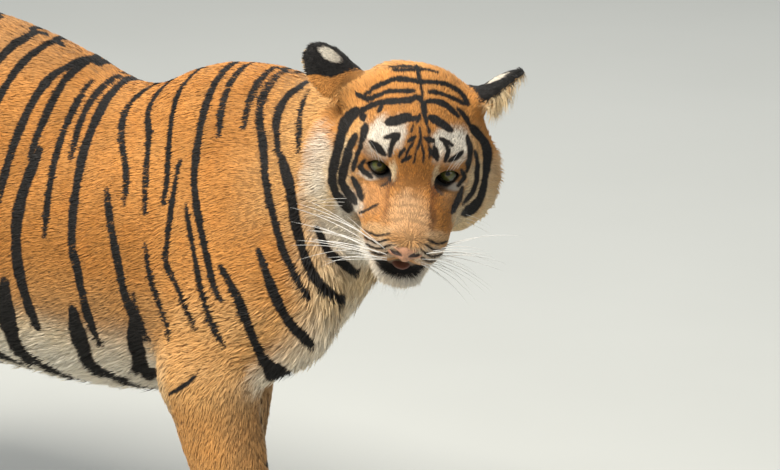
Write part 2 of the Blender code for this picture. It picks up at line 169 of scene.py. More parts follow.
def limb(rows, count, up=(0, 0, 1), pinch=0.0):
    """A rounded limb through rows of (x, y, z, half width, half height)."""
    rows = rounded_path(rows, count)
    spans = []
    for a, b in zip(rows[:-1], rows[1:]):
        reach = max(a[3:].max(), b[3:].max())
        spans.append((a, b, np.minimum(a[:3], b[:3]) - reach, np.maximum(a[:3], b[:3]) + reach))

    def distance(p):
        best = np.full(len(p), 1.0)
        for a, b, low, high in spans:
            m = np.all((p > low - REACH) & (p < high + REACH), axis=1)
            if not m.any():
                continue
            ab = b[:3] - a[:3]
            along = unit(ab)
            side = unit(np.cross(up, along))
            top = np.cross(along, side)
            t = np.clip((p[m] - a[:3]) @ ab / (ab @ ab), 0, 1)
            v = p[m] - (a[:3] + t[:, None] * ab)
            half_w = a[3] + t * (b[3] - a[3])
            half_h = a[4] + t * (b[4] - a[4])
            s, w, l = v @ side, v @ top, v @ along
            half_w = half_w * (1 - pinch * np.clip(w / half_h, -1, 1))
            half_l = np.minimum(half_w, half_h)
            k0 = np.sqrt((s / half_w) ** 2 + (w / half_h) ** 2 + (l / half_l) ** 2)
            k1 = np.sqrt((s / half_w ** 2) ** 2 + (w / half_h ** 2) ** 2 + (l / half_l ** 2) ** 2)
            best[m] = np.minimum(best[m], k0 * (k0 - 1) / np.maximum(k1, 1e-9))
        return best
    return distance, np.min([s[2] for s in spans], axis=0), np.max([s[3] for s in spans], axis=0)


class Form:
    """Shapes joined or cut one after the other, each with its own width of blend."""

    def __init__(self):
        self.steps = []

    def add(self, shape, blend):
        self.steps.append((shape, blend, smooth_union))

    def cut(self, shape, blend):
        self.steps.append((shape, blend, smooth_cut))

    def distance(self, p):
        d = np.full(len(p), REACH)
        for (near, low, high), blend, join in self.steps:
            m = np.all((p > low - REACH) & (p < high + REACH), axis=1)
            if m.any():
                d[m] = join(d[m], near(p[m]), blend)
        return d


# ---- the tiger's forms ----
def add_paw(form, wrist, knuckle, spread):
    wrist, knuckle = np.array(wrist), np.array(knuckle)
    ahead = unit(((knuckle[0] - wrist[0]) * 0.4, knuckle[1] - wrist[1] - 0.02, 0))
    side = np.array([-ahead[1], ahead[0], 0])
    form.add(ball(knuckle + (0, 0, -0.014), (0.052, 0.064, 0.042)), 0.02)
    for place in (-1.5, -0.5, 0.5, 1.5):
        reach = 0.080 if abs(place) < 1 else 0.059
        root = knuckle + side * place * spread * 0.85 + ahead * 0.01 + (0, 0, 0.004)
        tip = knuckle + side * place * spread + ahead * reach + (0, 0, -0.033)
        arch = (root + tip) / 2 + (0, 0, 0.018)
        toe = [(*root, 0.019, 0.026), (*arch, 0.0185, 0.023), (*tip, 0.0175, 0.021)]
        form.add(limb(toe, 4), 0.010)
        TOES.append((tip, ahead))


def add_foreleg(form, bones):
    shoulder, elbow, wrist, knuckle = (np.array(v) for v in bones)
    ahead = (0, 1, 0)
    blade = shoulder + (elbow - shoulder) * 0.15 + (0, -0.01, 0.03)
    form.add(ball(blade, (0.062, 0.120, 0.170), turned(0, -25, 0)), 0.05)
    form.add(limb([(*shoulder, 0.062, 0.100), (*((shoulder + elbow) / 2), 0.062, 0.098),
                   (*elbow, 0.060, 0.076)], 6, ahead), 0.06)
    form.add(limb([(*elbow, 0.060, 0.076), (*(elbow + (wrist - elbow) * 0.3), 0.062, 0.074),
                   (*(elbow + (wrist - elbow) * 0.75), 0.052, 0.058),
                   (*wrist, 0.048, 0.052)], 8, ahead), 0.03)
    form.add(ball(elbow + (0, 0.035, 0.012), (0.036, 0.045, 0.050)), 0.04)
    form.add(limb([(*wrist, 0.048, 0.052), (*((wrist + knuckle) / 2), 0.048, 0.045),
                   (*knuckle, 0.048, 0.042)], 5, ahead), 0.02)
    add_paw(form, wrist, knuckle, 0.031)


def add_hindleg(form, bones):
    hip, stifle, hock, knuckle = (np.array(v) for v in bones)
    ahead = (0, 1, 0)
    thigh = hip + (stifle - hip) * 0.42 + (0, 0.060, 0)
    form.add(ball(thigh, (0.082, 0.165, 0.205), turned(0, 12, 0)), 0.05)
    form.add(limb([(*hip, 0.070, 0.120), (*((hip + stifle) / 2), 0.080, 0.130),
                   (*stifle, 0.066, 0.088)], 6, ahead), 0.06)
    form.add(limb([(*stifle, 0.066, 0.088), (*(stifle + (hock - stifle) * 0.4), 0.062, 0.082),
                   (*(stifle + (hock - stifle) * 0.8), 0.045, 0.054),
                   (*hock, 0.041, 0.048)], 8, ahead), 0.04)
    form.add(ball(hock + (0, 0.020, 0.014), (0.031, 0.036, 0.042)), 0.03)
    form.add(limb([(*hock, 0.041, 0.048), (*((hock + knuckle) / 2), 0.042, 0.042),
                   (*knuckle, 0.050, 0.044)], 5, ahead), 0.02)
    add_paw(form, hock, knuckle, 0.030)


def ear_frame(side):
    """Base point and axes (across, along, out of the opening) of an ear laid outward and back."""
    base = np.array([-0.112, 0.105, 0.072] if side == RIGHT else [0.082, 0.105, 0.080])
    along = unit((-0.68, 0.34, 0.54) if side == RIGHT else (0.74, 0.16, 0.62))
    opening = np.array([-0.25, 0.42, -0.80] if side == RIGHT else [0.50, -0.28, -0.80])
    opening = unit(opening - along * (opening @ along))
    return base, np.stack([np.cross(along, opening), along, opening], axis=1)


LID = 0.0030                          # thickness of an eyelid
EYE_SLANT = 15.0                      # degrees, outer corner up
EYE_HALF = 0.0192                     # half length of the lids' opening
LID_UP, LID_DOWN = 0.0140, 0.0115     # and its rise and fall


def eye_centre(side):
    return np.array([EYE_OUT * side, EYE_BACK, 0.0])


def lid_edge(q, side):
    """Signed distance to the eyelids' opening, seen along the head, in metres."""
    slant = math.radians(EYE_SLANT)
    v = q - eye_centre(side)
    across = (v[:, 0] * side) * math.cos(slant) + v[:, 2] * math.sin(slant)
    up = -(v[:, 0] * side) * math.sin(slant) + v[:, 2] * math.cos(slant)
    bow = 1 - (across / EYE_HALF) ** 2
    lower = -LID_DOWN * bow * (1 - 0.25 * across / EYE_HALF)
    upper = LID_UP * bow * (1 + 0.15 * across / EYE_HALF)
    return np.maximum(up - upper, lower - up) * 0.8


def eye_opening(side):
    c = eye_centre(side)

    def distance(p):
        return np.maximum(lid_edge(p, side), p[:, 1] - c[1] + 0.002)
    return distance, c - 0.03, c + 0.03


def head_form(lids=False):
    """The head in its own frame, from the point between the eyes."""
    h = Form()
    h.add(ball((0, 0.110, 0.014), (0.110, 0.120, 0.120)), 0.01)        # cranium
    h.add(ball((-0.045, 0.150, 0.014), (0.072, 0.080, 0.106)), 0.03)   # nape, towards the shoulder
    h.add(ball((0, 0.040, 0.016), (0.080, 0.070, 0.066)), 0.04)        # forehead
    for s in (RIGHT, LEFT):
        h.add(ball((0.082 * s, 0.085, -0.044), (0.062, 0.072, 0.084)), 0.04)   # ruff
        h.add(ball((0.041 * s, 0.012, -0.060), (0.039, 0.062, 0.050)), 0.03)   # cheek
    h.add(limb([(0, 0.03, -0.036, 0.052, 0.052), (0, -0.05, -0.050, 0.050, 0.040),
                (0, -0.096, -0.064, 0.042, 0.031)], 8), 0.030)         # bridge of the nose
    for s in (RIGHT, LEFT):
        h.add(ball((0.034 * s, -0.034, -0.062), (0.032, 0.054, 0.038)), 0.030)  # side of the muzzle
        h.add(ball((0.030 * s, -0.070, -0.084), (0.034, 0.046, 0.035)), 0.024)  # whisker pad
    h.add(ball((0, -0.110, -0.068), (0.034, 0.020, 0.025)), 0.012)     # nose
    h.add(limb([(0, 0.08, -0.126, 0.080, 0.052), (0, 0.0, -0.134, 0.056, 0.034),
                (0, -0.060, -0.143, 0.033, 0.024)], 8), 0.014)         # lower jaw
    for s in (RIGHT, LEFT):
        h.add(ball((0.052 * s, 0.022, 0.038), (0.038, 0.032, 0.016)), 0.02)     # brow
        h.cut(ball((0.058 * s, -0.016, -0.001), (0.023, 0.026, 0.015)), 0.010)  # socket
        base, axes = ear_frame(s)
        h.add(ball(base + axes @ (0, 0.040, 0), (0.045, 0.061, 0.018), axes), 0.03)
        h.cut(ball(base + axes @ (0, 0.054, 0.015), (0.037, 0.047, 0.021), axes), 0.006)
    if lids:
        for s in (RIGHT, LEFT):
            h.add(ball(eye_centre(s), EYE_RADIUS + LID), 0.008)
            h.cut(eye_opening(s), 0.0015)
        lips = [(-0.048, -0.030, -0.117, 0.004, 0.002), (-0.034, -0.080, -0.121, 0.010, 0.003),
                (0, -0.108, -0.1215, 0.010, 0.0035), (0.034, -0.080, -0.121, 0.010, 0.003),
                (0.048, -0.030, -0.117, 0.004, 0.002)]
        cleft = [(0, -0.140, -0.088, 0.0018, 0.003), (0, -0.128, -0.106, 0.0022, 0.004)]
        h.cut(limb(lips, 12), 0.005)
        h.cut(limb(cleft, 3), 0.004)  # from the nose to the upper lip
        for s in (RIGHT, LEFT):       # folds beside the bridge of the nose and over the pads
            fold = [(0.050 * s, -0.030, -0.030, 0.004, 0.004),
                    (0.047 * s, -0.065, -0.052, 0.003, 0.003),
                    (0.037 * s, -0.100, -0.066, 0.002, 0.002)]
            h.cut(limb(fold, 6), 0.012)
    return h


def body_form():
    b = Form()
    rows = [(0, y, (top + bottom) / 2, wide, (top - bottom) / 2)
            for y, top, bottom, wide in TRUNK]
    b.add(limb(rows, 22, pinch=0.12), 0.01)
    b.add(limb(NECK, 10), 0.06)
    b.add(ball((0, -0.02, 0.828), (0.095, 0.15, 0.095)), 0.06)       # withers
    for s in (RIGHT, LEFT):
        add_foreleg(b, FORELEG[s])
        add_hindleg(b, HINDLEG[s])
    b.add(limb(TAIL, 24), 0.05)
    return b


TOES = []                             # (tip, ahead) of each toe
BODY, HEAD, BARE_HEAD = body_form(), head_form(), head_form(lids=True)


def tiger_distance(p, head=HEAD):
    d = BODY.distance(p)
    near = np.linalg.norm(p - HEAD_POINT, axis=1) < HEAD_REACH
    d[near] = smooth_union(d[near], head.distance(in_head(p[near])), HEAD_BLEND)
    return d


# ---- regions ----
def path_distance(p, path):
    """Distance to a polyline, and the unit direction of its nearest piece."""
    best = np.full(len(p), 9.0)
    way = np.zeros((len(p), 3))
    path = np.asarray(path, float)[:, :3]
    for a, b in zip(path[:-1], path[1:]):
        ab = b - a
        t = np.clip((p - a) @ ab / (ab @ ab), 0, 1)
        d = np.linalg.norm(p - (a + t[:, None] * ab), axis=1)
        m = d < best
        best[m] = d[m]
        way[m] = unit(ab)
    return best, way


class Place:
    """Where points lie on the tiger, as weights from 0 to 1."""

    def __init__(self, p, normals=None):
        self.p = p
        self.q = q = in_head(p)
        x, y, z = q.T
        self.across, self.rise = x, FACE_UP[2] * z + FACE_UP[1] * y
        middle, radii = (0, 0.055, -0.035), (0.155, 0.185, 0.175)
        self.head = fade(np.linalg.norm((q - middle) / radii, axis=1), 0.92, 1.12)
        self.face = self.head * fade(y, 0.03, 0.09)
        self.ruff = self.head * ease(np.abs(x), 0.075, 0.115) * ease(y, 0.0, 0.05)
        self.ruff = self.ruff * fade(z, 0.0, 0.05)
        self.chin = self.head * ease(-z, 0.128, 0.150) * fade(y, 0.02, 0.06)
        self.find_ears(normals)
        self.bowl = self.ears * ease(self.ear_out, 0.1, 0.5)
        eyes = [np.linalg.norm(q - eye_centre(s), axis=1) for s in (RIGHT, LEFT)]
        lids = [np.where(y < EYE_BACK, lid_edge(q, s), 1.0) for s in (RIGHT, LEFT)]
        self.eye, self.lid = np.min(eyes, axis=0), np.min(lids, axis=0)
        limbs = [path_distance(p, bones)[0] for bones in LIMBS]
        legs = [path_distance(p, bones[1:])[0] for bones in LIMBS]
        self.limb = fade(np.min(limbs, axis=0), 0.085, 0.125)
        self.leg = fade(np.min(legs, axis=0), 0.075, 0.13) * fade(p[:, 2], 0.42, 0.54)
        self.paw = fade(p[:, 2], 0.06, 0.13)
        self.wavy = self.limb * ease(p[:, 2], 0.40, 0.48) * fade(p[:, 2], 0.58, 0.68)
        self.wavy = self.wavy * fade(p[:, 1], 0.0, 0.1)
        d, self.tail_way = path_distance(p, rounded_path(TAIL, 24))
        self.tail = fade(d, 0.06, 0.09) * ease(p[:, 1], 0.97, 1.06)
        self.side = np.sign(p[:, 0] + 1e-6)
        if normals is not None:
            self.n = normals
            trunk = (1 - self.leg) * (1 - self.head) * (1 - self.tail)
            self.under = trunk * ease(-normals[:, 2], 0.15, 0.7) * fade(p[:, 2], 0.55, 0.68)
            self.breast = trunk * ease(-normals[:, 1], 0.3, 0.8) * fade(p[:, 1], -0.15, -0.05)
            self.breast = self.breast * fade(normals[:, 2], 0.2, 0.6)

    def find_ears(self, normals):
        """The ears' weight, the points in an ear's own axes, and whether they face its opening."""
        self.ear_at = np.zeros((len(self.p), 3))
        self.ears, self.ear_out = np.zeros((2, len(self.p)))
        middle, radii = (0, 0.040, 0), (0.050, 0.062, 0.032)
        for s in (RIGHT, LEFT):
            base, axes = ear_frame(s)
            e = (self.q - base) @ axes
            w = fade(np.linalg.norm((e - middle) / radii, axis=1), 0.95, 1.15)
            w *= ease(e[:, 1], 0.000, 0.022)
            better = w > self.ears
            self.ears[better], self.ear_at[better] = w[better], e[better]
            if normals is not None:
                self.ear_out[better] = (normals @ HEAD_AXES @ axes[:, 2])[better]


def coat_depth(a):
    """How far the skin lies under the coat's outline."""
    p = a.p
    low = fade(p[:, 2], 0.42, 0.56) * (1 - a.leg) + ease(-p[:, 1], 0.05, 0.16) * (1 - a.head)
    depth = 0.005 + 0.008 * np.clip(low, 0, 1)
    depth = depth + (0.004 - depth) * np.maximum(a.leg, a.tail * 0.6)
    depth = depth + (0.002 - depth) * a.paw
    depth = depth + (0.004 + 0.006 * a.ruff - depth) * a.head
    depth = depth + (0.0022 - depth) * a.face * (1 - a.ruff)
    depth = depth + (0.0020 - depth) * a.ears
    depth = depth * ease(a.eye, EYE_RADIUS + 0.004, EYE_RADIUS + 0.018)
    return depth


def bare_distance(p):
    return tiger_distance(p, BARE_HEAD)


# ---- meshing ----
def doubled(a):
    return np.repeat(np.repeat(np.repeat(a, 2, 0), 2, 1), 2, 2)


def grown(mask):
    for axis in range(3):
        bigger = mask.copy()
        ahead, behind = [slice(None)] * 3, [slice(None)] * 3
        ahead[axis], behind[axis] = slice(1, None), slice(None, -1)
        bigger[tuple(ahead)] |= mask[tuple(behind)]
        bigger[tuple(behind)] |= mask[tuple(ahead)]
        mask = bigger
    return mask


COARSEST = 4                          # ticks in a step of the first grid, a power of two
NEARBY = 1.8                          # steps from the surface, where the next grid is worked out


def ticks(spans):
    """Places along an axis, from (start, step) spans and the end, padded for the first grid."""
    out = []
    for (start, step), (end, _) in zip(spans[:-1], spans[1:]):
        many = max(int(round((end - start) / step)), 1)
        out.append(np.linspace(start, end, many, endpoint=False))
    out = np.concatenate(out)
    short = -(len(out) - 1) % COARSEST
    last, step = out[-1], out[-1] - out[-2]
    return np.concatenate([out, last + step * np.arange(1, short + 1)])


def surface(distance, axes):
    """Points and quads where distance is 0 on a grid of uneven ticks, filled only near it."""
    stride = COARSEST
    coarse = [a[::stride] for a in axes]
    grid = np.stack(np.meshgrid(*coarse, indexing="ij"), -1)
    d = distance(grid.reshape(-1, 3)).reshape(grid.shape[:3]).astype(np.float32)
    while stride > 1:
        steps = [np.gradient(a[::stride]) for a in axes]
        span = np.maximum(np.maximum(steps[0][:, None, None], steps[1][None, :, None]),
                          steps[2][None, None, :])
        near = np.abs(d) < span * NEARBY
        stride //= 2
        keep = tuple(slice(0, n * 2 - 1) for n in d.shape)
        d, near = doubled(d)[keep], grown(doubled(near)[keep])
        at = np.argwhere(near) * stride
        d[near] = distance(np.stack([axes[i][at[:, i]] for i in range(3)], -1))
    volume = openvdb.FloatGrid(1.0)
    volume.copyFromArray(np.ascontiguousarray(d))
    points, _, quads = volume.convertToPolygons(isovalue=0.0, adaptivity=0.0)
    points = np.asarray(points)
    points = [np.interp(points[:, i], np.arange(len(axes[i])), axes[i]) for i in range(3)]
    return np.stack(points, -1), np.asarray(quads)


def even_axes(low, high, step):
    return [ticks([(a, step), (b, 0)]) for a, b in zip(low, high)]


def in_frame(points):
    """Points as the frame has them, in one row for a mesh."""
    return (points - np.array(MIDDLE)).astype(np.float32).ravel()


def new_mesh(name, points, corners, starts):
    """A smooth mesh of faces whose first corners are at starts."""
    me = bpy.data.meshes.new(name)
    me.vertices.add(len(points))
    me.vertices.foreach_set("co", in_frame(points))
    me.loops.add(len(corners))
    me.loops.foreach_set("vertex_index", corners.astype(np.int32))
    me.polygons.add(len(starts))
    me.polygons.foreach_set("loop_start", starts.astype(np.int32))
    me.polygons.foreach_set("use_smooth", np.ones(len(starts), bool))
    me.update(calc_edges=True)
    return me


def quad_mesh(name, points, quads):
    return new_mesh(name, points, quads.ravel(), np.arange(len(quads)) * 4)


def starts_of(faces):
    return np.cumsum([0] + [len(f) for f in faces[:-1]])


def new_piece(name, me, material):
    ob = bpy.data.objects.new(name, me)
    bpy.context.scene.collection.objects.link(ob)
    me.materials.append(material)
    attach(ob, "root")
    return ob


def paint(me, name, values):
    """A colour attribute of one RGBA value for each vertex."""
    layer = me.attributes.new(name, "FLOAT_COLOR", "POINT")
    layer.data.foreach_set("color", np.ascontiguousarray(values, np.float32).ravel())


WAVES = 8                             # sine waves added up in smooth noise


def waves(p, size, seed):
    """Smooth noise of about that size, from about -1 to 1."""
    r = np.random.default_rng(seed)
    k = units(r.normal(size=(WAVES, 3))) * (2 * math.pi / size) * r.uniform(0.6, 1.6, (WAVES, 1))
    return np.sin(p @ k.T + r.uniform(0, 2 * math.pi, WAVES)).sum(1) / math.sqrt(WAVES)


def three_waves(p, size, seed):
    """A vector of such noise for each point, from three seeds."""
    return np.stack([waves(p, size, seed + i) for i in range(3)], -1)


# ---- markings ----
# Body stripes of the right side: width in mm, then (y, z) in cm from shoulder to rump.
SHOULDER = [
    (11, (-13.5, 91.5), (-10.5, 90), (-10.5, 86.5), (-12, 82.5)),
    (7, (-13, 89), (-15, 83)),
    (11, (-7, 92), (-7, 89), (-9, 84), (-15, 71), (-18, 65.5), (-20.5, 61)),
    (10, (-5, 93), (-5, 90), (-5.5, 85.5)),
    (10, (0, 93), (-0.5, 89), (-1.5, 84)),
    (12, (2.5, 92.5), (2.5, 90.5), (2, 80.5), (0.5, 74.5), (-4, 62.5), (-6, 59.5)),
    (9, (2.5, 73.5), (0, 65.5), (-2.5, 59), (-6.5, 52)),
    (9, (8, 90.5), (9, 88), (7, 77.5), (7, 73)),
    (8, (5, 80), (5.5, 67.5), (5, 62.5), (-1, 54)),
    (7, (9.5, 66.5), (8, 60), (5, 51)),
    (7, (11.5, 58), (10, 49.5)),
    (9, (13.5, 88), (14.5, 86), (12, 81.5), (10, 71)),
    (9, (17, 86.5), (18.5, 84.5), (14.5, 76.5), (14, 72)),
    (12, (17.5, 74), (14.5, 64.5), (13, 58), (11.5, 50.5), (15, 42)),
    (13, (22.5, 86.5), (23, 81), (23, 76), (22.5, 65.5), (21, 59.5), (19, 47.5)),
    (9, (23.5, 88), (25, 85), (25, 78)),
    (9, (26.5, 86), (27.5, 79), (27.5, 65.5)),
    (11, (28, 89.5), (30, 88.5), (30.5, 86), (32, 77.5)),
    (13, (27.5, 90), (30, 90.5), (32.5, 88.5), (34, 84.5), (35.5, 77), (36.5, 70)),
    (18, (30.5, 79), (32.5, 70), (32.5, 61.5), (30, 49)),
    (12, (34, 92), (36.5, 92), (38, 90), (39.5, 86), (41, 80)),
    (14, (37, 94), (40, 93), (41, 92), (44, 86), (45, 79)),
    (32, (35, 57), (36, 49), (36, 41)),
    (28, (22.5, 54), (22.5, 48), (22.5, 41)),
    (23, (12, 53), (12.5, 48), (13, 41)),
]
RUMP = [
    (12, (41, 71), (42, 61), (41, 51), (42, 43)),
    (12, (46, 94.5), (48, 90), (49, 81), (48, 70), (46, 60), (46, 50)),
    (10, (51, 95.5), (52.5, 91), (53, 86)),
    (13, (55, 96.5), (56, 91), (56, 82), (54, 71), (51, 61), (51, 52)),
    (9, (59, 97), (60, 91), (60.5, 85)),
    (12, (63, 97.5), (64, 90), (64, 80), (61, 70), (57, 61), (56, 53)),
    (9, (67, 98), (69, 92), (70, 86)),
    (12, (71, 98), (74, 91), (74, 82), (69, 73), (64, 66), (61, 60)),
    (9, (76, 98), (79, 93), (81, 86)),
    (12, (80, 98), (85, 91), (86, 83), (80, 75), (73, 70), (68, 66)),
    (10, (85, 97), (90, 90), (92, 82)),
    (12, (94, 84), (90, 76), (83, 69), (75, 64), (69, 61)),
    (11, (97, 78), (94, 70), (87, 63), (78, 58), (70, 56)),
    (11, (96, 66), (91, 59), (83, 54), (74, 51), (69, 51)),
    (10, (95, 57), (90, 51), (83, 47), (76, 46)),
]
CHEST = [  # x, y, z in cm, of the right side of the breast and neck
    (14, (-12, -12.5, 82.5), (-14, -15.5, 77.5), (-16, -18, 71.5), (-16, -21, 64.5), (-7, -21, 56)),
    (12, (-14, -20.5, 72), (-13, -22.5, 67.5), (-6, -24, 62.5)),
    (13, (-19, -5.5, 65), (-20, -9, 60), (-19, -12, 52), (-14, -13.5, 45.5), (-12, -14, 43.5)),
    (15, (-19, -12, 68.5), (-19, -16.5, 58.5), (-15, -20, 52.5)),
    (7, (-21, 3.5, 43), (-21, 0, 45), (-21, -2, 47)),
    (34, (-17, -12.5, 50), (-15, -14, 46.5), (-11, -15, 43)),
    (20, (-17.5, -18.5, 55.5), (-15.5, -20, 52.5)),
]
HAUNCH = [  # the same of the right buttock
    (12, (-5, 93, 93), (-9, 93, 89), (-11.5, 92, 82), (-12, 90, 76)),
    (11, (-4, 100, 84), (-8, 100, 80), (-11, 96, 77)),
    (11, (-4, 101, 76), (-8, 101, 72), (-11.5, 97, 69)),
    (10, (-4, 101, 68), (-8, 101, 64), (-12, 96, 61)),
]
# Marks of the face: width, then (across, rise) in mm as seen from in front, left side positive.
FACE = [
    (4, (-52, 158), (-22, 162), (4, 166), (22, 164)), (3, (-58, 164), (-32, 168), (-8, 170)),
    (6, (-14, 172), (-11, 156), (-7, 141)), (4, (-7, 141), (-3, 126), (-3, 108)),
    (9, (-1, 112), (3, 100), (5, 86)),
    (5, (-90, 111), (-78, 124), (-58, 137), (-44, 144), (-28, 147)),
    (6, (-45, 140), (-28, 144), (-10, 143), (10, 145), (29, 146), (43, 143), (60, 136), (74, 118)),
    (7, (-102, 112), (-88, 105), (-72, 112), (-56, 121), (-36, 124), (-16, 127)),
    (7, (8, 129), (20, 129), (41, 126), (60, 120), (75, 116)),
    (8, (-99, 82), (-80, 95), (-61, 103), (-40, 107), (-20, 112), (-10, 117), (1, 110)),
    (6, (-68, 86), (-63, 99)),
    (9, (1, 110), (12, 114), (29, 114), (44, 107), (60, 96)),
    (5, (58, 108), (70, 99), (82, 86)),
    (13, (-53, 71), (-36, 77), (-18, 86)), (6, (-20, 79), (-7, 85)),
    (13, (14, 88), (32, 81), (50, 73)), (5, (6, 94), (9, 76)), (5, (-3, 90), (-6, 78)),
    (6, (-53, 47), (-35, 53), (-38, 43)), (5, (-38, 50), (-42, 32), (-42, 18)),
    (9, (-75, 37), (-63, 30), (-50, 19)), (7, (-16, 46), (-7, 54)), (5, (-28, 20), (-21, 33)),
    (4, (-23, 12), (-10, 22)), (3, (-1, 70), (2, 50), (-2, 34)), (6, (8, 54), (24, 51)),
    (5, (18, 38), (33, 22)), (5, (25, 43), (34, 27)), (6, (34, 57), (54, 49)),
    (5, (38, 55), (48, 40), (46, 22)), (8, (71, 41), (63, 31), (53, 24)),
    (8, (78, 68), (84, 52), (86, 36), (85, 12)),
    (15, (-100, 86), (-111, 71), (-117, 57), (-121, 38), (-125, 16), (-126, -20), (-123, -36),
     (-114, -52), (-100, -63), (-88, -74)),
    (10, (-93, 82), (-89, 72)), (11, (-85, 64), (-86, 50), (-89, 34)),
    (5, (-88, 30), (-91, 13), (-94, -11)),
    (12, (-99, 46), (-105, 22), (-107, 0), (-108, -28), (-98, -44), (-84, -60)),
    (5, (-78, 7), (-83, -4), (-74, -10), (-62, -16)), (6, (-93, -22), (-82, -38), (-76, -54)),
    (2, (-77, -75), (-66, -67), (-52, -56)),
    (5, (60, 107), (72, 97), (84, 82)),
    (15, (84, 83), (97, 74), (111, 62), (119, 44), (122, 24), (121, 6), (119, -13), (114, -32),
     (104, -46), (92, -55)),
    (7, (94, 45), (101, 31), (103, 14), (103, -5), (98, -23), (88, -40)),
    (9, (82, -14), (80, -29), (70, -54)), (5, (75, 12), (81, 2), (73, -11)),
    (2, (-8, 46), (-15, 32), (-17, 20)), (2, (5, 44), (10, 28), (12, 14)), (2, (-2, 30), (-4, 12)),
    (2, (15, 46), (20, 32), (19, 22)), (2, (-12, 72), (-14, 60)), (3, (12, 74), (15, 62)),
]
PADS = [  # the same of the lines on the right whisker pad
    (2, (-30, -100), (-48, -106), (-68, -100)), (2, (-30, -110), (-50, -117), (-70, -110)),
    (2, (-26, -120), (-44, -128), (-62, -122)), (2, (-22, -130), (-38, -137), (-52, -134)),
]
UNDER = [(13, 22), (22, 28), (35, 30), (43, 20), (50, 18), (57, 14)]   # belly bars: y in cm, width


def marched(starts, ways):
    """Where rays first meet the coat's outline, or come nearest to it."""
    far = np.zeros(len(starts))
    best, found = np.full(len(starts), 9.0), starts.copy()
    for _ in range(70):
        p = starts + ways * far[:, None]
        d = tiger_distance(p)
        m = d < best
        best[m], found[m] = d[m], p[m]
        far += np.where(best < 0.001, 0, np.maximum(d * 0.8, 0.001))
    return found


def settled(points):
    """The nearest places on the coat's outline."""
    p = points.copy()
    for _ in range(6):
        d = tiger_distance(p)
        slope = np.stack([tiger_distance(p + e) - d for e in np.eye(3) * 0.001], -1) / 0.001
        p = p - (d / np.maximum((slope ** 2).sum(1), 0.2))[:, None] * slope
    return p


def finely(points, step):
    """Points about a step apart on a curve through the given ones."""
    length = np.linalg.norm(np.diff(points, axis=0), axis=1).sum()
    return rounded_path(points, max(int(length / step) + 1, 3))


STROKES = []                          # (points, way to send them or None, width, ends, seed, seen)


def stroke(points, width, ends, seed, way=None, seen=False):
    """Keeps a stripe, to be laid on the coat's outline along way or to its nearest place.

    Its width is in mm, and ends is the length in which it thins out, in metres. A seen one has
    that width as the face is seen from in front.
    """
    STROKES.append((points, way, width, ends, seed, seen))


def laid_strokes():
    """All stripes on the coat's outline, as (points, half widths, seen)."""
    sent = [s for s in STROKES if s[1] is not None]
    ways = np.concatenate([np.tile(s[1], (len(s[0]), 1)) for s in sent])
    found = each_of([s[0] for s in sent], lambda points: marched(points, ways))
    still = [s for s in STROKES if s[1] is None]
    laid = each_of(found + [s[0] for s in still], settled)
    laid = [at if s[5] else finely(at, BODY_STEP) for at, s in zip(laid, sent + still)]
    return [(at, half_widths(at, *s[2:5]), s[5])
            for at, s in zip(each_of(laid, settled), sent + still)]


def each_of(rows, work):
    """Rows of points after work on all of them together."""
    return np.split(work(np.concatenate(rows)), np.cumsum([len(row) for row in rows])[:-1])


def half_widths(points, width, ends, seed):
    """In metres at each point: less at the ends, and uneven."""
    s = np.concatenate([[0], np.cumsum(np.linalg.norm(np.diff(points, axis=0), axis=1))])
    full = np.clip(np.minimum(s, s[-1] - s) / ends, 0, 1) ** 0.7
    uneven = 1 + 0.10 * np.sin(s * 70 + seed) + 0.05 * np.sin(s * 190 + seed * 3)
    return 0.0005 * (width * (0.50 + 0.50 * full) + 1.0) * uneven


BROADER = 1.05                        # the body stripes' widths, with the hairs that spread them
BODY_STEP, FACE_STEP = 0.010, 0.004   # between a stripe's points, in metres
BESIDE, BEFORE = 0.34, 0.35           # where marks are sent from, off the body and the face
SPINE = 86                            # cm up, where stripes that start above it run over the back


def trunk_stripes():
    r = np.random.default_rng(5)
    for side in (RIGHT, LEFT):
        for i, (width, *points) in enumerate(SHOULDER + RUMP):
            at = np.array(points, float)
            width = width * BROADER
            if side == LEFT:
                at = at + (r.normal(0, 0.5), 0) + r.normal(0, 0.3, at.shape)
                at[:, 0] += 1.5 * np.sin(at[:, 1] * 0.12 + 0.4 * i)
                width = width * r.uniform(0.85, 1.15)
            at[:, 1] += 0.1 * np.clip(at[:, 1] - 80, 0, None)
            if at[0, 1] > SPINE:
                at[0, 1] += 2.5
            at = finely(at * 0.01, BODY_STEP)
            start = np.stack([np.full(len(at), BESIDE * side), at[:, 0], at[:, 1]], -1)
            stroke(start, width, 0.05, i, (-side, 0.0, 0.0))
        for i, (width, *points) in enumerate(CHEST + HAUNCH):
            at = np.array(points, float) * 0.01
            if side == LEFT:
                at[:, 0] *= -1
                at[:, 1] += 0.075 if i < len(CHEST) else -0.02
                at[:, 2] += r.normal(0, 0.01)
            stroke(finely(at, BODY_STEP), width * BROADER, 0.04, i)
        for y, width in UNDER:
            at = np.array([(0.15, y, 43), (0.11, y - 3, 39.5), (0.03, y - 7, 37)])
            stroke(finely(at * (side, 0.01, 0.01), BODY_STEP), width, 0.03, y)


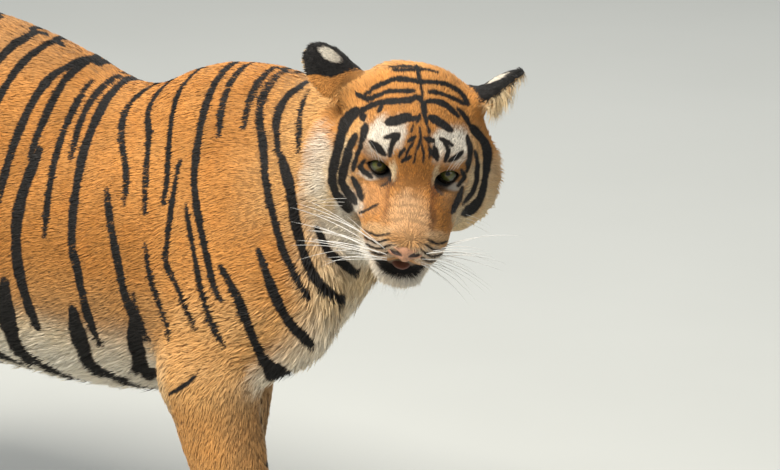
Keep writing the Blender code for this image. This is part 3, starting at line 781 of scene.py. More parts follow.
def round_limb(bones, at, start, end, width, tilt, seed):
    """A bar at a share of a limb's length, between degrees from its front towards the left."""
    path = rounded_path(bones, 41)
    i = min(int(at * 40), 39)
    middle, along = path[i], unit(path[i + 1] - path[i])
    front = unit(np.cross((1, 0, 0), along) * (1 if along[2] < 0 else -1))
    left = np.cross(front, along) * (1 if np.cross(front, along)[0] > 0 else -1)
    a = np.radians(np.linspace(start, end, max(int(abs(end - start) / 8), 4)))
    points = middle + 0.08 * (np.cos(a)[:, None] * front + np.sin(a)[:, None] * left)
    points = points + along * (tilt * np.sin(a * 0.5 + 0.4))[:, None]
    stroke(points, width, 0.03, seed)


def limb_bars():
    r = np.random.default_rng(8)
    for side in (RIGHT, LEFT):
        fore, hind = FORELEG[side][1:], HINDLEG[side][1:]
        for i, at in enumerate((0.10, 0.24, 0.38, 0.52)):         # inner side of the foreleg
            round_limb(fore, at, 60 * -side, 165 * -side, 10 - i, 0.02, i)
        for i, at in enumerate((0.12, 0.24, 0.36, 0.48, 0.62)):   # outside and back of the hind leg
            round_limb(hind, at, 30 * side, (150 + 20 * r.random()) * side, 12 - i, 0.025, i)
            round_limb(hind, at + 0.05, -40 * side, (-130 - 20 * r.random()) * side, 9 - i, 0.02, i)
    for i, at in enumerate(np.linspace(0.06, 0.86, 13)):
        half = 150 if at > 0.3 else 100
        tail_ring(at, half, 15 if i % 2 else 11, i)
        if i % 2:
            tail_ring(at + 0.022, half * 0.8, 8, i + 20)


def tail_ring(at, half, width, seed):
    path = rounded_path([row[:3] for row in TAIL], 81)
    i = min(int(at * 80), 79)
    along = unit(path[i + 1] - path[i])
    top = unit(np.cross(along, (1, 0, 0)))
    top = top * (1 if top[1] + top[2] > 0 else -1)
    a = np.radians(np.linspace(-half, half, 26))
    points = path[i] + 0.05 * (np.cos(a)[:, None] * top + np.sin(a)[:, None] * np.cross(along, top))
    stroke(points, width, 0.025, seed)


def seen_stroke(points, width, seed):
    """A mark through (across, rise) points, in metres as the face is seen from in front."""
    at = finely(points, FACE_STEP)
    start = at[:, :1] * (1, 0, 0) + at[:, 1:] * FACE_UP - BEFORE * FACE_AHEAD
    stroke(from_head(start), width, 0.010, seed, HEAD_AXES @ FACE_AHEAD, True)


def face_marks():
    for i, (width, *points) in enumerate(FACE):
        high = min(p[1] for p in points) > 90
        width = width * (1.35 if width < 7 else 1.05) * (0.82 if high else 1)
        seen_stroke(np.array(points, float) * 0.001, width, i)
    for side in (RIGHT, LEFT):
        for i, (width, *points) in enumerate(PADS):
            seen_stroke(np.array(points, float) * (-side * 0.001, 0.001), width, i)


MARK_EDGE = 0.012                     # metres across a mark's edge, from 0 to 1
SEEN_DEEPER, SEEN_BEYOND = 1.2, 0.004   # a seen mark's reach along the view: widths, and metres
EYE_RIM = 0.0014                      # half the width of the eyes' dark rims
TAIL_TIP = 1.455                      # y where its black begins
EAR_INSIDE = 0.25                     # an ear's bowl faces its opening by more than this
EAR_SPOT = (-0.011, 0.062, 0.0)       # its middle, across, along and out of the ear
EAR_SPOT_EDGE = 0.0135
EAR_SPOT_TILT = 25                    # degrees, of the right ear's


def stroke_distance(p):
    """Signed distance to the nearest stripe's edge, up to MARK_EDGE."""
    best = np.full(len(p), MARK_EDGE)
    before = HEAD_AXES @ FACE_AHEAD
    for points, half, seen in STRIPES:
        reach = MARK_EDGE + 0.001 + half.max() * (1 + SEEN_DEEPER if seen else 1)
        low, high = points.min(0) - reach, points.max(0) + reach
        m = np.flatnonzero(np.all((p > low) & (p < high), axis=1))
        if not len(m):
            continue
        at, d = p[m], best[m]
        for a, b, wa, wb in zip(points[:-1], points[1:], half[:-1], half[1:]):
            ab = b - a
            if seen:
                ab = ab - before * (ab @ before)
            t = np.clip((at - a) @ ab / max(ab @ ab, 1e-12), 0, 1)
            off, wide = at - (a + t[:, None] * (b - a)), wa + t * (wb - wa)
            far = np.linalg.norm(off, axis=1)
            if seen:
                off = off - np.outer(off @ before, before)
                deep = far - SEEN_DEEPER * wide - SEEN_BEYOND
                far = np.maximum(np.linalg.norm(off, axis=1), deep)
            d = np.minimum(d, far - wide)
        best[m] = d
    return best


def marks(p, a):
    """Black, from 0 to 1, with 0.5 at a mark's edge."""
    edge = stroke_distance(p + 0.0006 * three_waves(p, 0.011, 1))
    e = a.ear_at
    start = 0.029 + 0.25 * e[:, 0] + 0.9 * np.clip(e[:, 0] - 0.018, 0, None)     # up the right ear
    start = np.where(a.q[:, 0] < 0, start, 0.014)
    outside = a.ear_out < EAR_INSIDE
    back = np.where((a.ears > 0.3) & outside, start - e[:, 1], 1.0)      # black back of the ear
    spot = EAR_SPOT_EDGE - ear_spot(a)                                   # with its white spot
    edge = np.minimum(edge, np.maximum(back, np.where(outside, spot, -1.0)))
    edge = np.minimum(edge, (TAIL_TIP - p[:, 1]) * a.tail + (1 - a.tail))
    edge = np.minimum(edge, np.abs(a.lid) * 0.9 - EYE_RIM)
    balls = [((0.0, -0.066, -0.1315), (0.050, 0.055, 0.0066))]           # lips
    for s in (RIGHT, LEFT):           # below the eye's inner corner, and the mouth's corner
        balls.append(((0.0345 * s, -0.021, -0.014), (0.005, 0.016, 0.014)))
        balls.append(((0.044 * s, -0.042, -0.124), (0.014, 0.028, 0.012)))
    for middle, radii in balls:
        edge = np.minimum(edge, edge_ball(a.q, middle, radii))
    return np.clip(0.5 - edge / MARK_EDGE, 0, 1)


def ear_spot(a):
    """Distance from the white spot's middle, less along the spot than across it."""
    v = a.ear_at - EAR_SPOT
    tilt = np.where(a.q[:, 0] < 0, math.radians(EAR_SPOT_TILT), 0.0)
    along = np.sin(tilt) * v[:, 0] + np.cos(tilt) * v[:, 1]
    return np.hypot(0.68 * along, 1.05 * (np.cos(tilt) * v[:, 0] - np.sin(tilt) * v[:, 1]))


def edge_ball(q, centre, radii):
    """Distance to an ellipsoid's surface, less than 0 in it."""
    return (np.linalg.norm((q - centre) / radii, axis=1) - 1) * min(radii)


def srgb(*c):
    """A colour of 0 to 255 as light."""
    c = np.array(c, float) / 255
    return np.where(c <= 0.04045, c / 12.92, ((c + 0.055) / 1.055) ** 2.4)


ORANGE, DEEP, LIGHT = srgb(204, 142, 74), srgb(170, 112, 48), srgb(222, 176, 116)
CREAM, WHITE, BROWN = srgb(222, 198, 158), srgb(232, 224, 208), srgb(104, 62, 28)
TAN, PEACH, DUN = srgb(218, 172, 124), srgb(206, 148, 92), srgb(168, 128, 84)
FACE_GROUND = [  # colour, (across, rise) mm, radii mm, how much
    (DEEP, (0, 30), (26, 50), 0.75), (DEEP, (0, -15), (28, 30), 0.7),
    (TAN, (0, -78), (38, 48), 0.95),
    # painted shade: BROWN in the creases beside the bridge of the nose and at the eyes' inner
    # corners
    (BROWN, (-37, -44), (5, 40), 0.75), (BROWN, (36, -46), (8, 46), 0.95),
    (BROWN, (-34, -14), (9, 14), 0.7), (BROWN, (34, -14), (9, 14), 0.7),
    # painted shade: DEEP, DUN and BROWN darken the face's left side, on the muzzle, the cheek and
    # round the eye
    (DEEP, (56, -48), (22, 34), 0.85), (DUN, (66, -30), (24, 22), 0.55),
    (BROWN, (48, -14), (22, 10), 0.45),
    (PEACH, (-58, -50), (24, 32), 0.8), (TAN, (-80, -45), (14, 20), 0.5),
    (WHITE, (-56, 44), (32, 32), 1.0), (WHITE, (54, 48), (32, 32), 1.0),
    (WHITE, (-32, 55), (12, 26), 0.8), (WHITE, (31, 38), (10, 24), 0.8),
    (CREAM, (-33, -4), (6, 15), 0.9), (CREAM, (33, -2), (5, 15), 0.8),
    (WHITE, (-66, -14), (17, 7), 0.9), (WHITE, (66, -13), (17, 7), 0.8),
    (LIGHT, (-104, 60), (20, 40), 0.8), (LIGHT, (98, 60), (18, 36), 0.8),
    (WHITE, (-152, -5), (30, 75), 0.85),
    (CREAM, (-112, -10), (24, 50), 0.95), (CREAM, (106, -10), (26, 50), 0.95),
    (WHITE, (-92, -66), (20, 24), 1.0), (CREAM, (88, -62), (18, 24), 1.0),
    (WHITE, (-38, -126), (38, 15), 0.95), (WHITE, (38, -126), (38, 15), 0.95),
    (CREAM, (-50, -100), (26, 14), 0.45), (CREAM, (50, -100), (26, 14), 0.45),
    (WHITE, (0, -176), (60, 30), 1.0), (CREAM, (138, 10), (22, 60), 0.65),
]


def ground(a):
    """The coat's colour without its marks, with painted shade on the flank and face and a painted
    sheen on the upper back, and the skin's the same.
    """
    p, q, n = a.p, a.q, a.n
    back, up = p[:, 1], p[:, 2]
    c = np.tile(ORANGE, (len(p), 1))

    def tint(colour, weight):
        nonlocal c
        c = c + (colour - c) * np.clip(weight, 0, 1)[:, None]
    patch = waves(p, 0.25, 11)
    rest = (1 - a.head) * (1 - a.tail)
    tint(DEEP, 0.30 + 0.25 * patch + 0.15 * waves(p, 0.09, 12))
    # painted shade: the flank behind the shoulder and below the back is darkened with DEEP
    tint(DEEP, 0.80 * rest * (1 - a.leg) * ease(back, 0.0, 0.15) * ease(0.80 - up, 0.0, 0.20))
    # painted sheen: the upper back towards the rump is greyed and darkened with DUN as the hair's
    # grey sheen
    tint(DUN, 0.60 * rest * ease(up, 0.86, 0.95) * ease(back, 0.10, 0.30))
    tint(LIGHT, 0.65 * rest * a.limb * ease(up, 0.38, 0.46) * fade(up, 0.56, 0.66))
    tint(LIGHT, 0.35 * ease(-up, -0.66, -0.52) * (1 - a.limb))
    tint(LIGHT, 0.60 * rest * (1 - a.limb) * ease(-back, 0.04, 0.16))
    tint(LIGHT, 0.35 * a.leg * (1 - a.paw))
    fore = rest * a.limb * fade(back, 0.10, 0.16)
    tint(CREAM, 0.60 * fore * ease(back, 0.020, 0.055) * ease(0.52 - up, 0.0, 0.10))
    tint(DUN, 0.55 * fore * ease(-n[:, 1], 0.2, 0.8) * ease(0.52 - up, 0.0, 0.08))
    # painted shade: the lower flank just above the belly is darkened with DUN
    flank = 0.60 + 0.02 * patch - up
    tint(DUN, 0.55 * rest * (1 - a.limb) * ease(flank, 0.0, 0.10) * ease(back, 0.02, 0.10))
    belly = 0.525 + 0.02 * patch - up
    tint(CREAM, ease(belly, 0.0, 0.085) * ease(back, 0.02, 0.10) * (1 - a.limb) * (1 - a.tail))
    tint(WHITE, a.under)
    tint(CREAM, 0.9 * a.breast * ease(0.80 - up, 0, 0.10))
    tint(WHITE, 0.8 * a.breast * ease(0.62 - up, 0, 0.10))
    inner = ease(-n[:, 0] * a.side, 0.1, 0.8) * ease(0.60 - up, 0, 0.08)
    tint(CREAM, 0.8 * inner * np.maximum(a.leg, 0.3))
    tint(CREAM, 0.45 * a.paw)
    tint(CREAM, 0.6 * a.tail * ease(-n[:, 2] - 0.5 * n[:, 1], 0.0, 0.8))
    nape = a.head * ease(q[:, 1], 0.09, 0.16)
    tint(CREAM, 0.9 * a.head * (1 - nape) * ease(-q[:, 2], 0.02, 0.09) * ease(q[:, 1], 0.0, 0.05))
    tint(WHITE, 0.9 * a.head * ease(-q[:, 2], 0.10, 0.14))
    ragged = 0.10 * waves(p, 0.030, 21) + 0.06 * waves(p, 0.012, 22)
    front = np.maximum(a.face, a.ruff * 0.9)
    for colour, (u, v), (ru, rv), amount in FACE_GROUND:
        far = np.hypot((a.across * 1000 - u) / ru, (a.rise * 1000 - v) / rv) + ragged
        tint(colour, amount * fade(far, 0.55, 1.30) * front * (1 - a.ears))
    tint(BROWN, a.face * (0.09 + 0.09 * waves(p, 0.004, 23)))
    tint(ORANGE, a.ears * (1 - a.bowl))
    tint(CREAM, a.bowl)
    tint(WHITE, a.ears * fade(ear_spot(a), 0.015, 0.020) * (a.ear_out < EAR_INSIDE))
    return np.clip(c, 0.004, 1)


# ---- materials ----
class Nodes:
    """A material's nodes, made one after the other."""

    def __init__(self, name, **sockets):
        self.material = bpy.data.materials.new(name)
        self.material.use_nodes = True
        self.tree = self.material.node_tree
        self.shader = self.tree.nodes["Principled BSDF"]
        for socket, value in sockets.items():
            self.shader.inputs[socket.replace("_", " ")].default_value = value

    def node(self, kind, inputs=None, **settings):
        n = self.tree.nodes.new("ShaderNode" + kind)
        for key, value in settings.items():
            setattr(n, key, value)
        for key, value in (inputs or {}).items():
            if isinstance(value, bpy.types.NodeSocket):
                self.tree.links.new(value, n.inputs[key])
            else:
                n.inputs[key].default_value = value
        return n

    def attribute(self, name):
        return self.node("Attribute", attribute_name=name).outputs

    def math(self, operation, a, b):
        return self.node("Math", {0: a, 1: b}, operation=operation).outputs[0]

    def times(self, a, b):
        """The product of two colours or vectors, part by part."""
        return self.node("VectorMath", {0: a, 1: b}, operation="MULTIPLY").outputs[0]

    def mix(self, factor, a, b, blend="MIX"):
        n = self.node("Mix", {0: factor}, data_type="RGBA", blend_type=blend)
        for socket, value in ((6, a), (7, b)):
            if isinstance(value, bpy.types.NodeSocket):
                self.tree.links.new(value, n.inputs[socket])
            else:
                n.inputs[socket].default_value = (*value, 1)
        return n.outputs[2]

    def range(self, value, low, high, to_low=0.0, to_high=1.0):
        inputs = {0: value, 1: low, 2: high, 3: to_low, 4: to_high}
        return self.node("MapRange", inputs).outputs[0]

    def noise(self, scale, detail, rough=0.5, vector=None):
        inputs = {"Scale": scale, "Detail": detail, "Roughness": rough}
        inputs["Vector"] = vector or self.node("TexCoord").outputs["Object"]
        return self.node("TexNoise", inputs).outputs["Fac"]

    def bump(self, height, strength, distance):
        n = self.node("Bump", {"Height": height, "Strength": strength, "Distance": distance})
        self.tree.links.new(n.outputs[0], self.shader.inputs["Normal"])

    def set(self, socket, value):
        self.tree.links.new(value, self.shader.inputs[socket])


BLACK, SOOT = (0.0060, 0.0055, 0.0050), (0.020, 0.016, 0.013)
FRINGE = (0.10, 0.045, 0.018)         # brown of the hairs at a mark's edge
WARM = (0.50, 0.32, 0.10)
SKIN_SHADE = 0.62                     # the skin is in the coat's shade


def coat_material(name, skin):
    n = Nodes(name, Roughness=0.75, Specular_IOR_Level=0.25, Sheen_Weight=0.05, Sheen_Roughness=0.5)
    coat, strand = n.attribute("coat"), n.attribute("strand")
    along, tone = n.node("SeparateColor", {0: strand["Color"]}).outputs[:2]
    fine, broad = n.noise(420.0, 3.0), n.noise(24.0, 4.0)
    ragged = n.math("MULTIPLY", n.math("SUBTRACT", fine, 0.5), 0.25)
    ragged = n.math("ADD", coat["Alpha"], ragged)
    black = n.range(ragged, 0.44, 0.58)
    shade = n.math("ADD", n.math("MULTIPLY", tone, 0.50), n.math("MULTIPLY", broad, 0.30))
    shade = n.math("ADD", shade, n.math("MULTIPLY", fine, 0.30))
    light = n.range(shade, 0.25, 0.85, 0.66, 1.16)
    light = n.math("MULTIPLY", light, n.range(along, 0.0, 1.0, 0.80, 1.10))
    if skin:
        light = n.math("MULTIPLY", light, SKIN_SHADE)
    fringe = n.math("MULTIPLY", n.range(ragged, 0.34, 0.48), 0.55)
    lit = n.mix(n.range(broad, 0.35, 0.7, 0.0, 0.22), coat["Color"], WARM, "SOFT_LIGHT")
    lit = n.times(lit, n.node("CombineXYZ", {0: light, 1: light, 2: light}).outputs[0])
    lit = n.mix(fringe, lit, FRINGE)
    dark = n.mix(n.range(tone, 0.0, 1.0, 0.0, 0.5), BLACK, SOOT)
    n.set("Base Color", n.mix(black, lit, dark))
    n.set("Roughness", n.range(fine, 0.3, 0.7, 0.62, 0.85))
    if skin:
        n.bump(n.math("ADD", fine, n.math("MULTIPLY", n.noise(130.0, 4.0), 1.5)), 0.7, 0.002)
    return n.material


IRIS = [  # share of the way from the pupil's middle to the white, and the colour there
    (0.00, (0.004, 0.004, 0.003)), (0.235, (0.004, 0.004, 0.003)), (0.29, (0.10, 0.075, 0.014)),
    (0.45, (0.095, 0.090, 0.018)), (0.72, (0.066, 0.078, 0.019)), (0.90, (0.033, 0.040, 0.014)),
    (0.98, (0.012, 0.012, 0.008)), (1.0, (0.02, 0.014, 0.010)),
]


def eye_material():
    n = Nodes("eyeball", Roughness=0.10, Coat_Weight=0.55, Coat_Roughness=0.03,
              Specular_IOR_Level=0.3)
    iris = n.attribute("iris")
    spokes = n.noise(9.0, 5.0, 0.7, n.times(iris["Color"], (3.0, 3.0, 0.4)))
    uneven = n.math("MULTIPLY", n.math("SUBTRACT", spokes, 0.5), 0.16)
    ramp = n.node("ValToRGB", {0: n.math("ADD", iris["Alpha"], uneven)})
    ring = ramp.color_ramp.elements
    while len(ring) < len(IRIS):
        ring.new(0.5)
    for element, (place, colour) in zip(ring, IRIS):
        element.position, element.color = place, (*colour, 1)
    streak = n.range(spokes, 0.3, 0.8, 0.0, 0.35)
    n.set("Base Color", n.mix(streak, ramp.outputs[0], (0.05, 0.045, 0.012)))
    return n.material


def leather_material(name, colour, dark, spots, rough):
    """Bare skin with fine grain and dark mottling."""
    n = Nodes(name, Roughness=rough, Specular_IOR_Level=0.45)
    mottle = n.range(n.noise(spots, 4.0, 0.6), 0.50, 0.68)
    grain = n.range(n.noise(300.0, 2.0), 0.3, 0.7, 0.0, 0.25)
    tone = n.mix(grain, colour, [v * 0.6 for v in colour])
    # painted shade: darkest where the coat attribute's alpha marks a hollow, the nose's nostrils
    edge = n.range(n.attribute("coat")["Alpha"], 0.4, 0.6)
    edge = n.math("MAXIMUM", n.math("MULTIPLY", mottle, 0.55), edge)
    n.set("Base Color", n.mix(edge, tone, dark))
    n.set("Roughness", n.range(n.noise(500.0, 2.0), 0.3, 0.7, rough - 0.08, rough + 0.12))
    cells = {"Scale": 700.0, "Vector": n.node("TexCoord").outputs["Object"]}
    n.bump(n.node("TexVoronoi", cells).outputs["Distance"], 0.35, 0.0006)
    return n.material


def fibre_material(name, root, tip, rough):
    """Whiskers and claws: colour from the root to the tip, with a fine streak."""
    n = Nodes(name, Roughness=rough, Specular_IOR_Level=0.5)
    along = n.node("SeparateColor", {0: n.attribute("strand")["Color"]}).outputs[0]
    tone = n.mix(n.range(along, 0.0, 0.9), root, tip)
    streak = n.range(n.noise(900.0, 2.0), 0.3, 0.7, 0.0, 0.25)
    n.set("Base Color", n.mix(streak, tone, [v * 0.7 for v in tip]))
    n.set("Roughness", n.range(n.noise(600.0, 2.0), 0.3, 0.7, rough - 0.05, rough + 0.1))
    return n.material


# ---- skin ----
X_TICKS = [(-0.252, 0.0045), (-0.190, 0.0026), (-0.080, 0.006), (0.090, 0.013), (0.252, 0)]
Y_TICKS = [(-0.500, 0.004), (-0.440, 0.0026), (-0.290, 0.004), (-0.200, 0.010), (-0.100, 0.016),
           (1.540, 0)]
Z_TICKS = [(-0.020, 0.010), (0.100, 0.012), (0.600, 0.008), (0.680, 0.004), (0.790, 0.0026),
           (0.860, 0.004), (0.940, 0.007), (1.025, 0)]
SOLE = 0.0010                         # lowest the skin and coat come
COAT = coat_material("coat_fur", False)
SKIN = coat_material("coat_skin", True)
trunk_stripes()
limb_bars()
face_marks()
STRIPES = laid_strokes()
outline, skin_quads = surface(bare_distance, [ticks(s) for s in (X_TICKS, Y_TICKS, Z_TICKS)])
outline[:, 2] = np.maximum(outline[:, 2], SOLE)
skin_mesh = quad_mesh("skin", outline, skin_quads)
skin_normals = np.empty(len(outline) * 3, np.float32)
skin_mesh.vertex_normals.foreach_get("vector", skin_normals)
skin_normals = skin_normals.reshape(-1, 3).astype(float)
place = Place(outline, skin_normals)
skin_points = outline - skin_normals * coat_depth(place)[:, None]
skin_points[:, 2] = np.maximum(skin_points[:, 2], SOLE)
skin_mesh.vertices.foreach_set("co", in_frame(skin_points))
skin_mesh.update()
skin = new_piece("skin", skin_mesh, SKIN)
paint(skin_mesh, "coat", np.column_stack([ground(place), marks(outline, place)]))
paint(skin_mesh, "strand", np.tile((0.25, 0.5, 0, 1), (len(skin_points), 1)))
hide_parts("head", "ear_right", "ear_left", "neck", "chest", "belly", "rump",
            "tail_root", "tail_middle", "tail_end",
            *[f"{part}_{side}" for part in ("foreleg", "forepaw", "hindleg", "hindpaw")
              for side in ("right", "left")])


# ---- coat ----
COAT_PIECES = 8
TUFTS_PER_M2 = 122000
SWIRL = 0.13                          # how much the coat's way wanders
STREAK = 0.22                         # how much loose tufts lean with their neighbours
TUFT = {  # lengths and widths in metres, and lifts off the skin in degrees
    "body": (0.0148, 0.0021, 9), "wavy": (0.020, 0.0022, 20), "under": (0.030, 0.0024, 24),
    "breast": (0.028, 0.0024, 22), "leg": (0.0135, 0.0020, 10), "paw": (0.0080, 0.0014, 10),
    "tail": (0.014, 0.0018, 14), "head": (0.013, 0.0016, 11), "ruff": (0.030, 0.0013, 30),
    "face": (0.0080, 0.0011, 9), "chin": (0.017, 0.0012, 34), "ears": (0.0080, 0.0011, 14),
}
HANGING_LONG, HANGING_LIFT = 0.032, 44   # what the tufts in the left ear's bowl have more
ROOT_DEPTH = 0.0008                   # of a tuft in the skin
BAKE_PATCH = 0.0030                   # side of a tuft's patch on the bake map


def unwrap(me):
    """The skin's own unwrap, whose places the coat's bake map repeats."""
    bpy.context.view_layer.objects.active = skin
    skin.select_set(True)
    me.uv_layers.new(name="OFBake")
    bpy.ops.object.mode_set(mode="EDIT")
    bpy.ops.mesh.select_all(action="SELECT")
    bpy.ops.uv.smart_project(angle_limit=math.radians(66), island_margin=0.002,
                             margin_method="SCALED")
    bpy.ops.object.mode_set(mode="OBJECT")
    uv = np.empty(len(me.loops) * 2, np.float32)
    me.uv_layers["OFBake"].uv.foreach_get("vector", uv)
    return uv.reshape(-1, 2)


def lie(a):
    """Unit directions in which the coat lies, along the skin."""
    p, q = a.p, a.q
    d = np.tile((0.0, 1.0, -0.42), (len(p), 1))
    d += a.breast[:, None] * (0, -0.7, -1.0)
    down = a.leg * ease(0.56 - p[:, 2], 0.0, 0.14)
    d += (np.array((0.0, 0.22, -1.0)) - d) * down[:, None]
    toe = a.paw * a.leg * ease(a.n[:, 2], -0.2, 0.5)
    d += (np.array((0.0, -1.0, -0.55)) - d) * toe[:, None]
    d += (a.tail_way - d) * a.tail[:, None]
    face = units(q - (0, -0.118, -0.060)) + (0, 0.35, 0)     # away from the nose
    level = 0 * q[:, 0]
    face += a.ruff[:, None] * np.stack([0.9 * np.sign(q[:, 0]), 0.2 + level, -0.9 + level], -1)
    face += a.chin[:, None] * (0, 0.2, -1.2)
    for s in (RIGHT, LEFT):
        w = a.ears * (np.sign(q[:, 0]) == s)
        face += w[:, None] * (ear_frame(s)[1] @ (0, 3.0, 0.3))
    d += (units(face) @ HEAD_AXES.T - d) * a.head[:, None]
    loose = np.clip(0.25 + a.wavy + a.breast + 0.6 * a.ruff + 0.5 * a.under, 0, 1)
    swirl = three_waves(p, 0.13, 31) * SWIRL * (1 - 0.6 * a.face)[:, None]
    d = units(d) + swirl + three_waves(p, 0.022, 34) * STREAK * loose[:, None]
    return units(d - a.n * (d * a.n).sum(1)[:, None])


def blend_by(a, body, **of):
    """A number for each point: the body's, or that of the regions it is in."""
    v = np.full(len(a.p), float(body))
    for region, value in of.items():
        v += (value - v) * getattr(a, region)
    return v


def bare_less(a):
    """0 where no hair grows: at the eyelids' edges, the nose's leather and between the lips."""
    nose = edge_ball(a.q, (0, -0.118, -0.080), (0.025, 0.020, 0.017))
    lips = edge_ball(a.q, (0, -0.080, -0.1215), (0.046, 0.050, 0.0075))
    return ease(a.lid, 0.0018, 0.0032) * fade(-nose, -0.002, 0.000) * ease(lips, -0.001, 0.001)


def tuft_roots(r):
    """Skin triangles and places in them for all tufts, spread by each region's density."""
    tri = np.concatenate([skin_quads[:, [0, 1, 2]], skin_quads[:, [0, 2, 3]]])
    corner = np.arange(len(skin_quads)) * 4
    loops = np.concatenate([np.stack([corner, corner + i, corner + i + 1], -1) for i in (1, 2)])
    a, b, c = (skin_points[tri[:, i]] for i in range(3))
    area = 0.5 * np.linalg.norm(np.cross(b - a, c - a), axis=1)
    dense = blend_by(place, 1.0, breast=1.1, leg=1.1, paw=1.7, tail=1.1, head=1.7, ruff=3.2,
                     face=3.8, ears=3.0)
    dense = dense * bare_less(place) * (outline[:, 2] > SOLE + 0.0005)
    many = area * dense[tri].mean(1) * TUFTS_PER_M2 * 1
    ends = np.cumsum(many)
    count = int(ends[-1])
    pick = np.searchsorted(ends, (np.arange(count) + r.random(count)) * ends[-1] / count)
    pick = np.minimum(pick, len(tri) - 1)
    u, v = r.random(count), r.random(count)
    flip = u + v > 1
    u[flip], v[flip] = 1 - u[flip], 1 - v[flip]
    w = np.stack([1 - u - v, u, v], -1)
    order = r.permutation(count)
    return tri[pick][order], loops[pick][order], w[order]


def spread(rows, tri, w):
    """Rows of values at the places w in the triangles tri."""
    return (rows[tri] * w[..., None]).sum(1)


def marks_along(out, span, a):
    """The marks at a tuft's root, middle and tip. A stripe between them darkens the middle."""
    at = [marks(out + span * t, a) for t in (0.0, 0.22, 0.45, 0.68, 0.90)]
    first = (at[1] > at[0]) & (at[1] > at[2])
    second = (at[3] > at[2]) & (at[3] > at[4])
    middle = np.maximum(at[2], np.maximum(np.where(first, at[1], 0), np.where(second, at[3], 0)))
    return np.stack([at[0], middle, at[4]], -1)


def tuft_shapes(a, r):
    """The length, width and lift of each tuft, and how its clump varies."""
    kinds = zip(*TUFT.values())
    long, wide, lift = (blend_by(a, **dict(zip(TUFT, kind))) for kind in kinds)
    hanging = a.bowl * (a.q[:, 0] > 0) * (1 - 0.7 * ease(a.ear_at[:, 1], 0.050, 0.090))
    long += hanging * HANGING_LONG
    lift += hanging * HANGING_LIFT
    near_eye = fade(a.eye, 0.022, 0.032)
    long, wide = long * (1 - 0.45 * near_eye), wide * (1 - 0.3 * near_eye)
    count = len(long)
    clump = 0.5 + 0.5 * waves(a.p, 0.018, 41)
    long *= (0.70 + 0.55 * r.random(count)) * (0.90 + 0.20 * clump)
    wide *= 0.75 + 0.5 * r.random(count)
    uneven = 0.7 + 0.6 * r.random(count) + (0.22 - 0.12 * a.head) * waves(a.p, 0.016, 42)
    return long, wide, np.radians(np.clip(lift * uneven, 2, 70)), clump


def blades(root, n, way, long, wide, lift, roll):
    """Each tuft's points: two at its base, two at its middle, where it bends, and its tip."""
    side = np.cross(n, way)
    side = side * np.cos(roll)[:, None] + n * np.sin(roll)[:, None]
    rise, flat = (lift * 1.35)[:, None], (lift * 0.45)[:, None]
    base = root - n * ROOT_DEPTH
    half = (long * 0.5)[:, None]
    mid = base + half * (way * np.cos(rise) + n * np.sin(rise))
    tip = mid + half * (way * np.cos(flat) + n * np.sin(flat))
    wide = (wide * 0.5)[:, None]
    points = np.stack([base - side * wide, base + side * wide,
                       mid - side * wide * 0.85, mid + side * wide * 0.85, tip], 1)
    points[..., 2] = np.maximum(points[..., 2], SOLE)
    return points


BLADE_CORNERS, BLADE_STARTS = np.array([0, 1, 3, 2, 2, 3, 4]), np.array([0, 4])
BLADE_ON_MAP = np.array([(0, 0), (1, 0), (0, 0.5), (1, 0.5), (0.5, 1)]) * BAKE_PATCH
BLADE_ON_MAP = BLADE_ON_MAP - BAKE_PATCH / 2


def coat_piece(name, points, colour, black, tone, uv):
    """Tufts in one mesh, each a quad and a triangle round its own place on the bake map."""
    many = len(points)
    row = np.arange(many)[:, None]
    me = new_mesh(name, points.reshape(-1, 3), (row * 5 + BLADE_CORNERS).ravel(),
                  (row * 7 + BLADE_STARTS).ravel())
    rgba = np.empty((many, 5, 4))
    rgba[..., :3], rgba[..., 3] = colour[:, None], black[:, [0, 0, 1, 1, 2]]
    paint(me, "coat", rgba.reshape(-1, 4))
    strand = np.ones((many, 5, 4))
    strand[..., 0] = (0.0, 0.0, 0.55, 0.55, 1.0)
    strand[..., 1] = tone[:, None]
    paint(me, "strand", strand.reshape(-1, 4))
    places = uv[:, None] + BLADE_ON_MAP[BLADE_CORNERS]
    layer = me.uv_layers.new(name="OFBake")
    layer.uv.foreach_set("vector", places.astype(np.float32).ravel())
    new_piece(name, me, COAT)


def coat(skin_uv):
    r = np.random.default_rng(2024)
    tri, loops, w = tuft_roots(r)
    root, out = spread(skin_points, tri, w), spread(outline, tri, w)
    n, uv = units(spread(skin_normals, tri, w)), spread(skin_uv, loops, w)
    a = Place(out, n)
    way = lie(a)
    long, wide, lift, clump = tuft_shapes(a, r)
    way = units(way + np.cross(n, way) * r.normal(0, 0.08, len(root))[:, None])
    points = blades(root, n, way, long, wide, lift, np.radians(r.normal(0, 16, len(root))))
    black = marks_along(out, way * long[:, None], a)
    colour = ground(a)
    tone = r.normal(0, 0.17, len(root)) * (1 + 0.6 * a.face)
    tone = np.clip(0.5 + tone + 0.10 * (clump - 0.5), 0, 1)
    for k in range(COAT_PIECES):
        rows = slice(k, None, COAT_PIECES)
        coat_piece(f"coat_{k + 1}", points[rows], colour[rows], black[rows], tone[rows], uv[rows])


coat(unwrap(skin_mesh))


# ---- nose, tongue, whiskers and claws ----
def field_piece(name, form, low, high, step, material, replaced, black=None):
    """A piece meshed from a form in the head's frame, painted dark as shade where black is below 0.
    """
    points, quads = surface(form.distance, even_axes(low, high, step))
    me = quad_mesh(name, from_head(points), quads)
    mark = np.clip(0.5 - black(points) / 0.004, 0, 1) if black else np.zeros(len(points))
    paint(me, "coat", np.column_stack([np.tile((0.5, 0.5, 0.5), (len(points), 1)), mark]))
    ob = new_piece(name, me, material)
    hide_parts(replaced)


